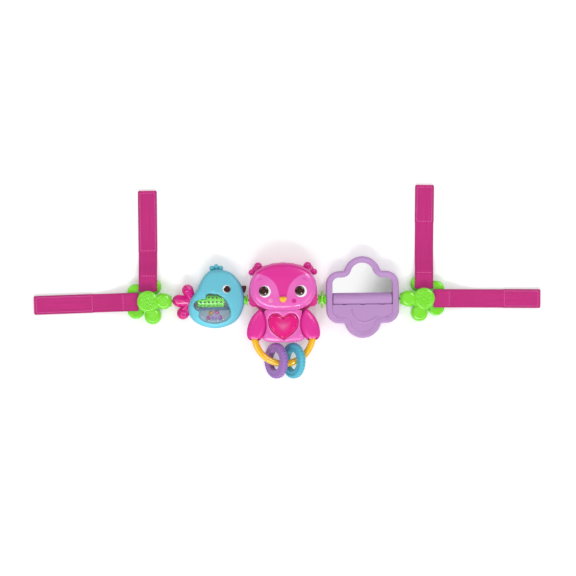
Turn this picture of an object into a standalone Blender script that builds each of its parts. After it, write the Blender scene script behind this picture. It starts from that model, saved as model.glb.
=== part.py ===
"""Pram toy: a cord with a bird, an owl and a cloud between two flower clips with webbing straps.

The toy lies on its back on the plane z = 0, seen from +Z as in the photograph: +X runs to its right
and +Y upwards. The origin is on the owl's flat back, on the cord's line. Sizes are in metres.
"""

import math

import bmesh
import bpy
from mathutils import Matrix, Vector

# Driving sizes shared by all the toys
AXIS_HEIGHT = 0.0125
CORD_RADIUS = 0.0015
CORD_CLEARANCE = 0.0004
KNOT_RADIUS = 0.0034
WALL = 0.0020
SEAM = 0.0003
OVERRUN = 0.0100
FAR = 0.5000

# Sizes that all shell screws share
SCREW_HEAD_RADIUS = 0.0024
SCREW_HEAD_LOW = 0.0010
SCREW_HEAD_HIGH = 0.0028
SCREW_SHANK_RADIUS = 0.0012
SCREW_PAD_RADIUS = 0.0038
SCREW_PAD_TOP = 0.0050
SCREW_REACH = 0.0150
BOSS_RADIUS = 0.0030

# Sizes of the owl
OWL_WIDTH = 0.0954
OWL_HEIGHT = 0.1061
OWL_REAR_DEPTH = 0.0180
OWL_HEAD_DEPTH = 0.0400
OWL_BODY_DEPTH = 0.0340
OWL_WING_DEPTH = 0.0325
OWL_LUG_SHARE = 0.474
OWL_LUG_REACH = OWL_WIDTH * OWL_LUG_SHARE
OWL_REAR_ROUNDING = 0.0025
OWL_HEAD_ROUNDING = 0.0080
OWL_BODY_ROUNDING = 0.0028
OWL_WING_ROUNDING_SHARE = 0.0314
OWL_WING_ROUNDING = OWL_WIDTH * OWL_WING_ROUNDING_SHARE
OWL_WALL = 0.0022
OWL_EYE_RADIUS = 0.0079
OWL_EYE_RISE = 0.0012
OWL_BEAK_RISE = 0.0035
EAR_HEIGHT = 0.0120

# Sizes of the owl's heart button
HEART_SIZE_SHARES = (0.398, 0.307)
HEART_WIDTH, HEART_HEIGHT = OWL_WIDTH * HEART_SIZE_SHARES[0], OWL_HEIGHT * HEART_SIZE_SHARES[1]
HEART_MIDDLE_SHARE = -0.328
HEART_MIDDLE_Y = OWL_HEIGHT * HEART_MIDDLE_SHARE
HEART_TRAVEL = 0.0015
HEART_GAP = 0.0005
HEART_RISE = 0.0020
HEART_ROUNDING = 0.0010
HEART_FLANGE = 0.0015
HEART_DEPTH = 0.0080

# Sizes inside the owl
BOARD_SIZE_SHARES = (0.314, 0.207)
BOARD_WIDTH, BOARD_HEIGHT = OWL_WIDTH * BOARD_SIZE_SHARES[0], OWL_HEIGHT * BOARD_SIZE_SHARES[1]
BOARD_THICKNESS = 0.0016
BOARD_LOW = 0.0150
SWITCH_SIDE = 0.0060
SWITCH_HEIGHT = 0.0040
PLUNGER_RADIUS = 0.0016
PLUNGER_RISE = 0.0014
LAMP_RADIUS = 0.0025
LAMP_RISE = 0.0075
BOARD_POST_RADIUS = 0.0020
SPEAKER_RADIUS = 0.0120
SPEAKER_DEPTH = 0.0060
SOUND_HOLES = 5
CELL_RADIUS = 0.0058
CELL_THICKNESS = 0.0054
DOOR_SIZE_SHARES = (0.377, 0.151)
DOOR_WIDTH, DOOR_HEIGHT = OWL_WIDTH * DOOR_SIZE_SHARES[0], OWL_HEIGHT * DOOR_SIZE_SHARES[1]
DOOR_THICKNESS = 0.0042
DOOR_SHARE = 0.207
DOOR_Y = OWL_HEIGHT * DOOR_SHARE
POWER_SLOT = (0.0090, 0.0045)
POWER_PLACE_SHARE = (0.210, 0.019)
POWER_TRAVEL = 0.0030

# Sizes of the hanging rings, and the links' places from the lowest point of the yellow one
RING_RADIUS_SHARE = 0.4015
RING_RADIUS = OWL_WIDTH * RING_RADIUS_SHARE
RING_TUBE_RADIUS = 0.0044
RING_HEIGHT = 0.0250
RING_CENTRE_SHARE = -0.4317
RING_CENTRE_Y = OWL_HEIGHT * RING_CENTRE_SHARE
RING_SWING = 10.0
RING_LEAN = 5.0
RING_END_ANGLE = 4.0
SOCKET_GAP = 0.0005
MOUTH_SPREAD = 0.0012
LINK_OUTER_RADIUS = 0.0235
LINK_INNER_RADIUS = 0.0105
LINK_THICKNESS = 0.0090
LINK_ROUNDING = 0.0030
LINK_TILT = 55.0
LINK_OFFSETS = {"purple_link": (-0.0100, 0.0041), "blue_link": (0.0128, 0.0039)}

# Sizes of the spacers
SPACER_FLANGE_RADIUS = 0.0079
SPACER_DOME_RADIUS = 0.0059
SPACER_NECK_RADIUS = 0.0036
SPACER_FLANGE = 0.0016
SPACER_GAP = 0.0009
BUSH_FLANGE_RADIUS = 0.0067
BUSH_HUB_RADIUS = 0.0050
BUSH_FLANGE = 0.0021
CLACKER_RADIUS = 0.0118
CLACKER_THICKNESS = 0.0030

# Spans along the cord between neighbours
BIRD_SPACER_SPAN = 0.0063
CLACKER_SPAN = 0.0116
TAIL_GAP = 0.0006
CLOUD_GAP = 0.0016

# Sizes of the bird
BIRD_WIDTH = 0.0733
BIRD_TAIL_SHARE = 0.792
BIRD_X = -(OWL_LUG_REACH + BIRD_SPACER_SPAN + BIRD_WIDTH / 2)
BIRD_RISE = 0.0010
BIRD_HEIGHT = 0.0770
BIRD_DEPTH = 0.0250
BIRD_ROUNDING = 0.0060
BIRD_SEAM_HEIGHT = AXIS_HEIGHT
EYE_RADIUS = 0.0061
EYE_RISE = 0.0008
WINDOW_THICKNESS = 0.0022
WINDOW_RISE = 0.0006
BEAD_RADIUS = 0.0033
DRUM_RADIUS = 0.0088
DRUM_LENGTH = 0.0350
DRUM_SHIFT = 0.0070
DRUM_WALL = 0.0014
DRUM_HOLE_RADIUS = 0.0014
DRUM_HOLES_ROUND = 6
DRUM_HOLES_LONG = 4

# Sizes of the cloud
CLOUD_WIDTH = 0.0958
CLOUD_HEIGHT = 0.1078
CLOUD_X = OWL_LUG_REACH + CLACKER_SPAN + CLOUD_WIDTH / 2
CLOUD_RISE = 0.0025
CLOUD_LOBE_SHARE = 0.2526
CLOUD_LOBE_RADIUS = CLOUD_WIDTH * CLOUD_LOBE_SHARE
CLOUD_CORNER_SHARE = 0.1795
CLOUD_CORNER_RADIUS = CLOUD_WIDTH * CLOUD_CORNER_SHARE
CLOUD_SHOULDER_SHARE = 0.320
CLOUD_SHOULDER = CLOUD_HEIGHT * CLOUD_SHOULDER_SHARE
CLOUD_FILLET_SHARE = 0.0365
CLOUD_FILLET = CLOUD_WIDTH * CLOUD_FILLET_SHARE
CLOUD_DEPTH = 0.0200
CLOUD_BORDER = 0.0084
BARREL_RADIUS = 0.0084
CLOUD_SEAM_HEIGHT = 0.0090
CLOUD_ROUNDING = 0.0030
MIRROR_LIP = 0.0012
MIRROR_THICKNESS = 0.0017
MIRROR_REACH = 0.0081
MIRROR_POST_RADIUS = 0.0026
ROLLER_GAP = 0.0005
CLOUD_SCREW_INSET = 0.0054

# Sizes of the clips
CLIP_DISC_RADIUS = 0.0140
CLIP_PETAL_REACH = 0.0204
CLIP_PETAL_RADIUS = 0.0111
CLIP_PETALS = 5
CLIP_DEPTH = 0.0250
CLIP_REAR_DEPTH = 0.0104
CLIP_REAR_ROUNDING = 0.0030
CLIP_FRONT_ROUNDING = 0.0050
CLIP_LEFT_X = BIRD_X - BIRD_TAIL_SHARE * BIRD_WIDTH - TAIL_GAP - CLIP_PETAL_REACH - CLIP_PETAL_RADIUS
CLIP_RIGHT_X = CLOUD_X + CLOUD_WIDTH / 2 + CLOUD_GAP + CLIP_PETAL_REACH + CLIP_PETAL_RADIUS
CLIP_SIDES = {"left": (-1, CLIP_LEFT_X), "right": (1, CLIP_RIGHT_X)}
FRONT_PETALS = (0, CLIP_PETALS - 1)
PETAL_DROP = 0.0015
PETAL_RAISE = 0.0002
COLLAR_RADIUS = 0.0079
COLLAR_LENGTH = 0.0062
COLLAR_GROOVE = 0.0012
COLLAR_RISE = 0.0004
CLIP_SCREW_REACH = 0.0180
KNOT_ROOM = 0.0042

# Sizes of the straps and of the bars that hold them
CLIP_BAR_RADIUS = 0.0015
CLIP_BAR_REACH = 0.0105
BAR_HEIGHT = 0.0141
BAR_HALF_LENGTH = 0.0088
BAR_POST = 0.0016
TONGUE_WIDTH = 0.0130
LOOP_WALL = 0.0013
SLOT_CLEARANCE = 0.0006
STRAP_WIDTH = 0.0250
STRAP_THICKNESS = 0.0026
STRAP_LENGTHS = {"left_upper": 0.1464, "left_outer": 0.1517, "right_upper": 0.1501, "right_outer": 0.1548}
STRAP_TILTS = {"left_upper": 0.0, "left_outer": 1.4, "right_upper": -1.3, "right_outer": -0.85}
STRAP_LIFT = 20.0
STRAP_PATCHED = ("left_outer", "right_outer")
PATCH_LENGTH = 0.0490
PATCH_THICKNESS = 0.0012

# Outlines as shares of each toy's width and height, from the cord's line and the toy's middle
BIRD_OUTLINE_SHARES = [
    (0.131, 0.512), (-0.003, 0.515), (-0.116, 0.495), (-0.221, 0.402), (-0.296, 0.275), (-0.352, 0.159),
    (-0.448, 0.025), (-0.500, -0.102), (-0.489, -0.227), (-0.410, -0.354), (-0.277, -0.435),
    (-0.107, -0.481), (0.026, -0.485), (0.177, -0.454), (0.311, -0.390), (0.406, -0.299), (0.471, -0.174),
    (0.500, -0.047), (0.491, 0.097), (0.453, 0.241), (0.386, 0.349), (0.277, 0.457),
]
BIRD_WINDOW_SHARES = [
    (-0.401, -0.083), (-0.372, -0.030), (-0.277, 0.016), (-0.192, 0.016), (-0.172, 0.088), (-0.087, 0.110),
    (0.064, 0.080), (0.177, -0.011), (0.244, -0.155), (0.253, -0.263), (0.177, -0.354), (0.026, -0.399),
    (-0.125, -0.390), (-0.259, -0.337), (-0.314, -0.263), (-0.296, -0.202), (-0.372, -0.155),
]
BEAD_PLACE_SHARES = [(-0.102, -0.224), (0.005, -0.215), (-0.150, -0.308), (-0.044, -0.308), (0.059, -0.303)]
TAIL_LOBE_SHARES = [(-0.516, 0.175, 0.104), (-0.677, -0.008, 0.115), (-0.604, -0.226, 0.112)]
TAIL_ROOT_SHARE = (-0.345, -0.030)
CREST_SHARES = [(-0.075, 0.546, 0.048), (0.005, 0.573, 0.048), (0.088, 0.546, 0.047)]
OWL_REAR_SHARES = [
    (0.000, -0.522), (0.166, -0.520), (0.263, -0.502), (0.315, -0.450), (0.322, -0.351), (0.318, -0.226),
    (0.324, -0.127), (0.373, -0.085), (0.436, -0.080), (0.469, -0.046), (0.472, 0.035), (0.469, 0.150),
    (0.445, 0.259), (0.387, 0.352), (0.277, 0.420), (0.138, 0.455), (0.000, 0.466),
]
OWL_HEAD_SHARES = [
    (0.000, -0.134), (0.138, -0.129), (0.263, -0.104), (0.360, -0.055), (0.429, 0.029), (0.461, 0.122),
    (0.456, 0.215), (0.418, 0.302), (0.353, 0.367), (0.263, 0.413), (0.138, 0.447), (0.000, 0.459),
]
OWL_PEAK_SHARES = [
    (0.000, 0.040), (0.046, 0.049), (0.068, 0.119), (0.095, 0.183), (0.152, 0.246), (0.223, 0.294),
    (0.321, 0.320), (0.426, 0.318), (0.560, 0.321), (0.560, 0.560), (0.000, 0.560),
]
OWL_BODY_SHARES = [
    (0.000, -0.137), (0.120, -0.134), (0.215, -0.123), (0.260, -0.152), (0.237, -0.246), (0.234, -0.332),
    (0.256, -0.410), (0.290, -0.466), (0.250, -0.505), (0.130, -0.522), (0.000, -0.526),
]
OWL_WING_SHARES = [
    (0.321, -0.113), (0.408, -0.179), (0.470, -0.270), (0.501, -0.363), (0.503, -0.443), (0.467, -0.493),
    (0.401, -0.510), (0.339, -0.505), (0.300, -0.470), (0.262, -0.410), (0.238, -0.332), (0.241, -0.246),
    (0.270, -0.164),
]
HEART_OUTLINE_SHARES = [
    (0.000, 0.356), (0.120, 0.452), (0.240, 0.500), (0.390, 0.465), (0.490, 0.320), (0.500, 0.210),
    (0.4625, -0.040), (0.330, -0.240), (0.1525, -0.403), (0.060, -0.475), (0.000, -0.500),
]
EAR_SHARES = [(0.343, 0.421, 0.057), (0.433, 0.346, 0.043), (0.385, 0.388, 0.036)]

# Places of small pieces, as shares of their toy's width and height
BIRD_SCREW_SHARES = {"bird_screw_upper": (0.000, 0.400), "bird_screw_lower": (0.358, -0.209)}
BIRD_EYE_SHARE = (0.192, 0.183)
BIRD_BEAK_SHARES = [
    (0.400, 0.118), (0.540, 0.108), (0.548, 0.130),
    (0.538, 0.238), (0.525, 0.246), (0.400, 0.236),
]
OWL_EYE_SHARE = (0.247, 0.107)
OWL_BEAK_SHARES = [
    (-0.053, 0.020), (-0.030, 0.042), (0.030, 0.042),
    (0.053, 0.020), (0.022, -0.026), (-0.022, -0.026),
]
OWL_SCREW_SHARES = {"owl_screw_upper": (0.000, 0.365), "owl_screw_lower": (0.180, -0.462)}
MIRROR_POST_SHARES = [(-0.36, 0.12), (0.36, 0.12), (0.0, 0.40)]

# Colours as red, green and blue
SKY_BLUE = (0.16, 0.56, 0.68)
HOT_PINK = (0.83, 0.02, 0.28)
PINK = (0.82, 0.14, 0.60)
MAGENTA = (0.55, 0.03, 0.22)
LEAF_GREEN = (0.22, 0.75, 0.05)
YELLOW = (0.95, 0.54, 0.02)
PURPLE = (0.50, 0.29, 0.58)
DEEP_PURPLE = (0.24, 0.07, 0.40)
LINK_BLUE = (0.05, 0.30, 0.62)
BROWN = (0.05, 0.01, 0.01)
WHITE = (0.85, 0.85, 0.85)
CLEAR = (0.80, 0.90, 0.92)
STEEL = (0.55, 0.55, 0.56)
BOARD_GREEN = (0.03, 0.22, 0.08)
BLACK = (0.02, 0.02, 0.02)
BEAD_COLOURS = [
    (0.95, 0.42, 0.03), (0.60, 0.03, 0.25), (0.85, 0.35, 0.55),
    (0.55, 0.42, 0.75), (0.90, 0.30, 0.50),
]

# Shares that shape small features, and the tools' tolerances
TAIL_ROUNDING_SHARE = 0.75
CREST_ROUNDING_SHARE = 0.7
EYE_CROWN_SHARE = 0.8
SPACER_NECK_SHARE = 0.62
DOME_EDGE_SHARE = 0.85
DOME_FULL_SHARE = 0.7
DOME_START_SHARE = 0.2
HOLLOW_ROUNDING_SHARE = 0.7
LAMP_PLACE_SHARE = (0.6, 0.4)
SPEAKER_RIM_SHARE = 0.75
SPEAKER_MAGNET_SHARE = 0.6
SPEAKER_SLOT_SHARE = 0.5
DOOR_BOSS_SHARE = 0.6
KNOB_RISE_SHARE = 1.6
KNOB_PLATE_SHARE = 1.8
KNOB_REACH_SHARES = (0.85, 0.75)
SOCKET_MOUTH_SHARE = 1.2
STRAP_DOWN_SHARE = 2.1
STRAP_BEND_SHARE = 0.15
STRAP_LEVEL_SHARE = 0.8
SCREW_TIP_SHARE = 0.4
SCREW_CROWN_SHARE = 0.8
TURNED_WELD = 0.00001
OUTLINE_WELD = 0.000001
FLAT_ANGLE = 0.2

# The exact solver leaves open edges on these pieces, whose outlines touch their tools along flat faces
MANIFOLD_PIECES = ("cloud_", "left_clip_back", "right_clip_back", "owl_body_shell", "heart_button")
TURNS = {"X": (0.0, math.pi / 2, 0.0), "Y": (-math.pi / 2, 0.0, 0.0), "Z": (0.0, 0.0, 0.0)}

PARTS = bpy.data.collections.new("pram_toy")
CUTTERS = bpy.data.collections.new("cutters")


def start_scene():
    """Empties the scene and links the two collections."""
    for obj in list(bpy.data.objects):
        bpy.data.objects.remove(obj, do_unlink=True)
    for collection in (PARTS, CUTTERS):
        bpy.context.scene.collection.children.link(collection)


def paint(obj, colour, roughness=0.35, metallic=0.0, alpha=1.0):
    """Gives a piece its own material."""
    material = bpy.data.materials.new(obj.name)
    material.use_nodes = True
    shader = material.node_tree.nodes["Principled BSDF"]
    shader.inputs["Base Color"].default_value = (*colour, 1.0)
    shader.inputs["Roughness"].default_value = roughness
    shader.inputs["Metallic"].default_value = metallic
    shader.inputs["Alpha"].default_value = alpha
    material.diffuse_color = (*colour, alpha)
    obj.data.materials.append(material)
    return obj


def piece(name, mesh):
    """A named object in the toy's collection."""
    obj = bpy.data.objects.new(name, mesh)
    PARTS.objects.link(obj)
    return obj


def as_tool(obj):
    """Moves an object to the cutters, where it only shapes other pieces."""
    PARTS.objects.unlink(obj)
    CUTTERS.objects.link(obj)
    obj.hide_render = True
    obj.display_type = "WIRE"
    return obj


def combine(target, tool, operation):
    """Adds a Boolean of the tool to the target."""
    modifier = target.modifiers.new(f"{operation.lower()}_{tool.name}"[:60], "BOOLEAN")
    modifier.operation = operation
    modifier.solver = "MANIFOLD" if target.name.startswith(MANIFOLD_PIECES) else "EXACT"
    modifier.object = tool


def cut(target, *tools):
    for tool in tools:
        combine(target, tool, "DIFFERENCE")


def join(target, *tools):
    for tool in tools:
        combine(target, tool, "UNION")


def from_bmesh(name, shape, place, axis="Z"):
    mesh = bpy.data.meshes.new(name)
    shape.to_mesh(mesh)
    shape.free()
    mesh.shade_smooth()
    mesh.set_sharp_from_angle(angle=math.radians(40.0))
    obj = piece(name, mesh)
    obj.location = place
    obj.rotation_euler = TURNS[axis]
    return obj


def cylinder(name, radius, length, place, axis="Z", sides=16):
    shape = bmesh.new()
    bmesh.ops.create_cone(shape, cap_ends=True, segments=sides, radius1=radius, radius2=radius, depth=length)
    return from_bmesh(name, shape, place, axis)


def post(name, radius, low, high, x, y, sides=10):
    """An upright cylinder between two heights."""
    return cylinder(name, radius, high - low, (x, y, (low + high) / 2), "Z", sides)


def box(name, low, high):
    shape = bmesh.new()
    bmesh.ops.create_cube(shape, size=1.0)
    bmesh.ops.scale(shape, vec=Vector(high) - Vector(low), verts=shape.verts)
    return from_bmesh(name, shape, (Vector(low) + Vector(high)) / 2)


def ball(name, radius, place, around=16, up=10):
    shape = bmesh.new()
    bmesh.ops.create_uvsphere(shape, u_segments=around, v_segments=up, radius=radius)
    return from_bmesh(name, shape, place)


def turned(name, profile, place, axis="X", sides=24, closed=True):
    """A profile of (radius, height) points, outer side from top to bottom, turned round the axis."""
    shape = bmesh.new()
    points = [shape.verts.new((radius, 0.0, height)) for radius, height in profile]
    for first, second in zip(points, points[1:]):
        shape.edges.new((first, second))
    if closed:
        shape.edges.new((points[-1], points[0]))
    mesh = bpy.data.meshes.new(name)
    shape.to_mesh(mesh)
    shape.free()
    obj = piece(name, mesh)
    obj.location = place
    obj.rotation_euler = TURNS[axis]
    screw = obj.modifiers.new("turn", "SCREW")
    screw.steps = sides
    screw.render_steps = sides
    screw.use_merge_vertices = True
    screw.merge_threshold = TURNED_WELD
    screw.use_smooth_shade = True
    return obj


def arc(centre, radius, start, end, steps):
    """Points on an arc between two angles in degrees, both ends included."""
    angles = [math.radians(start + (end - start) * step / steps) for step in range(steps + 1)]
    return [(centre[0] + radius * math.cos(angle), centre[1] + radius * math.sin(angle)) for angle in angles]


def smooth(points, steps=2):
    """A closed Catmull-Rom curve through the points."""
    found = []
    count = len(points)
    for index in range(count):
        before, start, end, after = (Vector(points[(index + shift) % count]) for shift in (-1, 0, 1, 2))
        for step in range(steps):
            t = step / steps
            place = 0.5 * (
                2 * start
                + (end - before) * t
                + (2 * before - 5 * start + 4 * end - after) * t**2
                + (3 * start - before - 3 * end + after) * t**3
            )
            found.append(tuple(place))
    return found


def both_halves(half):
    """Closes a right half, listed from one end of the mirror line to the other, with its mirror image."""
    return half + [(-x, y) for x, y in reversed(half[1:-1])]


def inset(points, distance):
    """The closed outline moved inwards by the distance, or outwards when it is negative."""
    count = len(points)
    turn = sum(
        points[index - 1][0] * points[index][1] - points[index][0] * points[index - 1][1]
        for index in range(count)
    )
    side = math.copysign(1.0, turn)
    moved = []
    for index in range(count):
        before, here, after = (Vector(points[(index + shift) % count]) for shift in (-1, 0, 1))
        first = (here - before).normalized()
        second = (after - here).normalized()
        normal = Vector((-(first.y + second.y), first.x + second.x)).normalized() * side
        stretch = max(0.5, math.sqrt((1 + first.dot(second)) / 2))
        moved.append(tuple(here + normal * distance / stretch))
    return moved


def placed(shares, width, height, x=0.0, y=0.0):
    return [(x + share[0] * width, y + share[1] * height) for share in shares]


def outline_solid(name, points, low, high, edge, edge_steps=1):
    """An upright slab of an outline, with its edges rounded by the edge radius."""
    curve = bpy.data.curves.new(name, "CURVE")
    curve.dimensions = "2D"
    curve.fill_mode = "BOTH"
    curve.extrude = (high - low) / 2 - edge
    curve.bevel_depth = edge
    curve.bevel_resolution = edge_steps
    spline = curve.splines.new("POLY")
    spline.points.add(len(points) - 1)
    for point, (x, y) in zip(spline.points, inset(points, edge) if edge else points):
        point.co = (x, y, 0.0, 1.0)
    spline.use_cyclic_u = True
    guide = piece(name + "_guide", curve)
    guide.location.z = (low + high) / 2
    return as_mesh(name, guide)


def as_mesh(name, guide):
    """Turns a curve object into a mesh object with welded caps."""
    bpy.context.view_layer.update()
    graph = bpy.context.evaluated_depsgraph_get()
    mesh = bpy.data.meshes.new_from_object(guide.evaluated_get(graph))
    shape = bmesh.new()
    shape.from_mesh(mesh)
    bmesh.ops.remove_doubles(shape, verts=shape.verts, dist=OUTLINE_WELD)
    bmesh.ops.dissolve_degenerate(shape, edges=shape.edges, dist=OUTLINE_WELD)
    flat = math.radians(FLAT_ANGLE)
    bmesh.ops.dissolve_limit(shape, angle_limit=flat, verts=shape.verts, edges=shape.edges)
    bmesh.ops.recalc_face_normals(shape, faces=shape.faces)
    shape.to_mesh(mesh)
    shape.free()
    mesh.name = name
    mesh.shade_smooth()
    mesh.set_sharp_from_angle(angle=math.radians(40.0))
    obj = piece(name, mesh)
    obj.matrix_world = guide.matrix_world.copy()
    bpy.data.objects.remove(guide, do_unlink=True)
    return obj


def screw(name, x, y, reach=SCREW_REACH):
    """A pan-head screw driven from the back."""
    obj = turned(
        name,
        [
            (0.0, reach),
            (SCREW_SHANK_RADIUS * SCREW_TIP_SHARE, reach),
            (SCREW_SHANK_RADIUS, reach - SCREW_SHANK_RADIUS),
            (SCREW_SHANK_RADIUS, SCREW_HEAD_HIGH),
            (SCREW_HEAD_RADIUS, SCREW_HEAD_HIGH),
            (SCREW_HEAD_RADIUS * SCREW_CROWN_SHARE, SCREW_HEAD_LOW),
            (0.0, SCREW_HEAD_LOW),
        ],
        (x, y, 0.0),
        "Z",
        9,
        closed=False,
    )
    return paint(obj, STEEL, 0.3, 1.0)


def screw_seat(name, rear, front, x, y, boss_top=None, reach=SCREW_REACH):
    """Seats a screw: a pad with a counterbore on the rear shell and, where asked, a boss on the front."""
    if boss_top is not None:
        pad = as_tool(post(name + "_pad", SCREW_PAD_RADIUS, WALL / 2, SCREW_PAD_TOP, x, y))
        boss = as_tool(post(name + "_boss", BOSS_RADIUS, SCREW_PAD_TOP + SEAM, boss_top, x, y, 10))
        join(rear, pad)
        join(front, boss)
    seat = SCREW_HEAD_RADIUS + SEAM
    counterbore = post(name + "_counterbore", seat, -OVERRUN, SCREW_HEAD_HIGH + SEAM, x, y)
    hole = post(name + "_hole", SCREW_SHANK_RADIUS + SEAM, -OVERRUN, reach + SEAM, x, y, 8)
    cut(rear, as_tool(counterbore), as_tool(hole))
    cut(front, hole)
    return screw(name, x, y, reach)


def cord_bore(name, start, end, radius=CORD_RADIUS + CORD_CLEARANCE, sides=8):
    """A cutter along the cord's line between two places."""
    middle = ((start + end) / 2, 0.0, AXIS_HEIGHT)
    return as_tool(cylinder(name, radius, abs(end - start), middle, "X", sides))


def above(name, height):
    """A cutter that takes away everything above a height."""
    return as_tool(box(name, (-FAR, -FAR, height), (FAR, FAR, FAR)))


def below(name, height):
    """A cutter that takes away everything below a height."""
    return as_tool(box(name, (-FAR, -FAR, -FAR), (FAR, FAR, height)))


def bird_point(share):
    return BIRD_X + share[0] * BIRD_WIDTH, BIRD_RISE + share[1] * BIRD_HEIGHT


def stadium(start, end, radius, steps=6):
    """The outline round a thick line between two points."""
    angle = math.degrees(math.atan2(end[1] - start[1], end[0] - start[0]))
    far_end = arc(end, radius, angle - 90, angle + 90, steps)
    return far_end + arc(start, radius, angle + 90, angle + 270, steps)


def tail_lobes(name, grown, steps):
    """The three fat fingers of the tail, each a rounded stadium reaching into the bird."""
    lobes = []
    root = bird_point(TAIL_ROOT_SHARE)
    for index, (x_share, y_share, radius_share) in enumerate(TAIL_LOBE_SHARES):
        radius = radius_share * BIRD_WIDTH
        outline = stadium(bird_point((x_share, y_share)), root, radius + grown, steps)
        low, high = AXIS_HEIGHT - radius - grown, AXIS_HEIGHT + radius + grown
        rounding = radius * TAIL_ROUNDING_SHARE
        lobes.append(outline_solid(f"{name}_{index + 1}", outline, low, high, rounding))
    return lobes


def make_bird():
    outline = smooth(placed(BIRD_OUTLINE_SHARES, BIRD_WIDTH, BIRD_HEIGHT, BIRD_X, BIRD_RISE))
    window_outline = smooth(placed(BIRD_WINDOW_SHARES, BIRD_WIDTH, BIRD_HEIGHT, BIRD_X, BIRD_RISE))
    beak_outline = placed(BIRD_BEAK_SHARES, BIRD_WIDTH, BIRD_HEIGHT, BIRD_X, BIRD_RISE)
    inner = inset(outline, WALL)
    inner_rounding = BIRD_ROUNDING - WALL
    inside = as_tool(outline_solid("bird_inside", inner, WALL, BIRD_DEPTH - WALL, inner_rounding))
    back = outline_solid("bird_back_shell", outline, 0.0, BIRD_DEPTH, BIRD_ROUNDING)
    front = outline_solid("bird_front_shell", outline, 0.0, BIRD_DEPTH, BIRD_ROUNDING)
    for index, (x_share, y_share, radius_share) in enumerate(CREST_SHARES):
        tip = bird_point((x_share, y_share))
        radius = radius_share * BIRD_WIDTH
        foot = tip[0], tip[1] - radius * 3
        outline_of_bump = stadium(tip, foot, radius, 5)
        bump = outline_solid(
            f"bird_crest_{index + 1}",
            outline_of_bump,
            AXIS_HEIGHT - radius,
            AXIS_HEIGHT + radius * 2,
            radius * CREST_ROUNDING_SHARE,
        )
        join(front, as_tool(bump))
    cut(back, above("bird_back_half", BIRD_SEAM_HEIGHT - SEAM / 2), inside)
    cut(front, below("bird_front_half", BIRD_SEAM_HEIGHT + SEAM / 2), inside)

    window_low = BIRD_DEPTH - WALL + WINDOW_RISE - SEAM
    window = outline_solid(
        "rattle_window", inset(window_outline, SEAM), window_low, window_low + WINDOW_THICKNESS, WINDOW_RISE
    )
    paint(window, CLEAR, 0.08, 0.0, 0.3)
    cut(front, as_tool(outline_solid("window_hole", window_outline, AXIS_HEIGHT, BIRD_DEPTH + OVERRUN, 0.0)))

    tail_parts = tail_lobes("bird_tail", 0.0, 6)
    tail = tail_parts[0]
    tail.name = "bird_tail"
    join(tail, *[as_tool(lobe) for lobe in tail_parts[1:]])
    hollow = AXIS_HEIGHT - DRUM_RADIUS
    tail_end = BIRD_X - DRUM_LENGTH / 2 - DRUM_SHIFT - SEAM * 2
    cut(tail, as_tool(box("tail_root_end", (tail_end, -FAR, -hollow), (FAR, FAR, FAR))))
    cut(tail, cord_bore("tail_bore", BIRD_X - BIRD_WIDTH, BIRD_X))
    paint(tail, HOT_PINK, 0.2)
    for lobe in tail_lobes("tail_hole", SEAM, 6):
        as_tool(lobe)
        cut(back, lobe)
        cut(front, lobe)

    beak_low, beak_high = AXIS_HEIGHT - WALL * 2, AXIS_HEIGHT + WALL * 2
    beak = outline_solid("bird_beak", beak_outline, beak_low, beak_high, WALL / 4, 0)
    paint(beak, BROWN, 0.3)
    beak_hole = outline_solid("beak_hole", inset(beak_outline, -SEAM), beak_low - SEAM, beak_high + SEAM, 0.0)
    as_tool(beak_hole)
    cut(back, beak_hole)
    cut(front, beak_hole)

    right_edge = BIRD_X + BIRD_WIDTH / 2
    bush_radius = SPACER_DOME_RADIUS + SEAM
    bush = cord_bore("bird_bush_hole", BIRD_X + BIRD_WIDTH / 4, right_edge + OVERRUN, bush_radius, 24)
    cut(back, bush)
    cut(front, bush)

    x, y = bird_point(BIRD_EYE_SHARE)
    eye_low, eye_high = BIRD_DEPTH - WALL, BIRD_DEPTH + EYE_RISE
    eye = turned(
        "bird_eye",
        [
            (0.0, eye_high),
            (EYE_RADIUS * EYE_CROWN_SHARE, eye_high),
            (EYE_RADIUS, eye_high - EYE_RISE),
            (EYE_RADIUS, eye_low),
            (0.0, eye_low),
        ],
        (x, y, 0.0),
        "Z",
        18,
        closed=False,
    )
    paint(eye, WHITE, 0.2)
    cut(front, as_tool(post("bird_eye_hole", EYE_RADIUS + SEAM, AXIS_HEIGHT, BIRD_DEPTH + OVERRUN, x, y, 18)))

    for name, share in BIRD_SCREW_SHARES.items():
        x, y = bird_point(share)
        screw_seat(name, back, front, x, y, BIRD_DEPTH - WALL / 2)

    for index, (share, colour) in enumerate(zip(BEAD_PLACE_SHARES, BEAD_COLOURS)):
        x, y = bird_point(share)
        bead = ball(f"rattle_bead_{index + 1}", BEAD_RADIUS, (x, y, WALL + SEAM + BEAD_RADIUS), 10, 7)
        paint(bead, colour, 0.25)
    paint(back, SKY_BLUE, 0.4)
    paint(front, SKY_BLUE, 0.4)
    make_drum()


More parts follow.
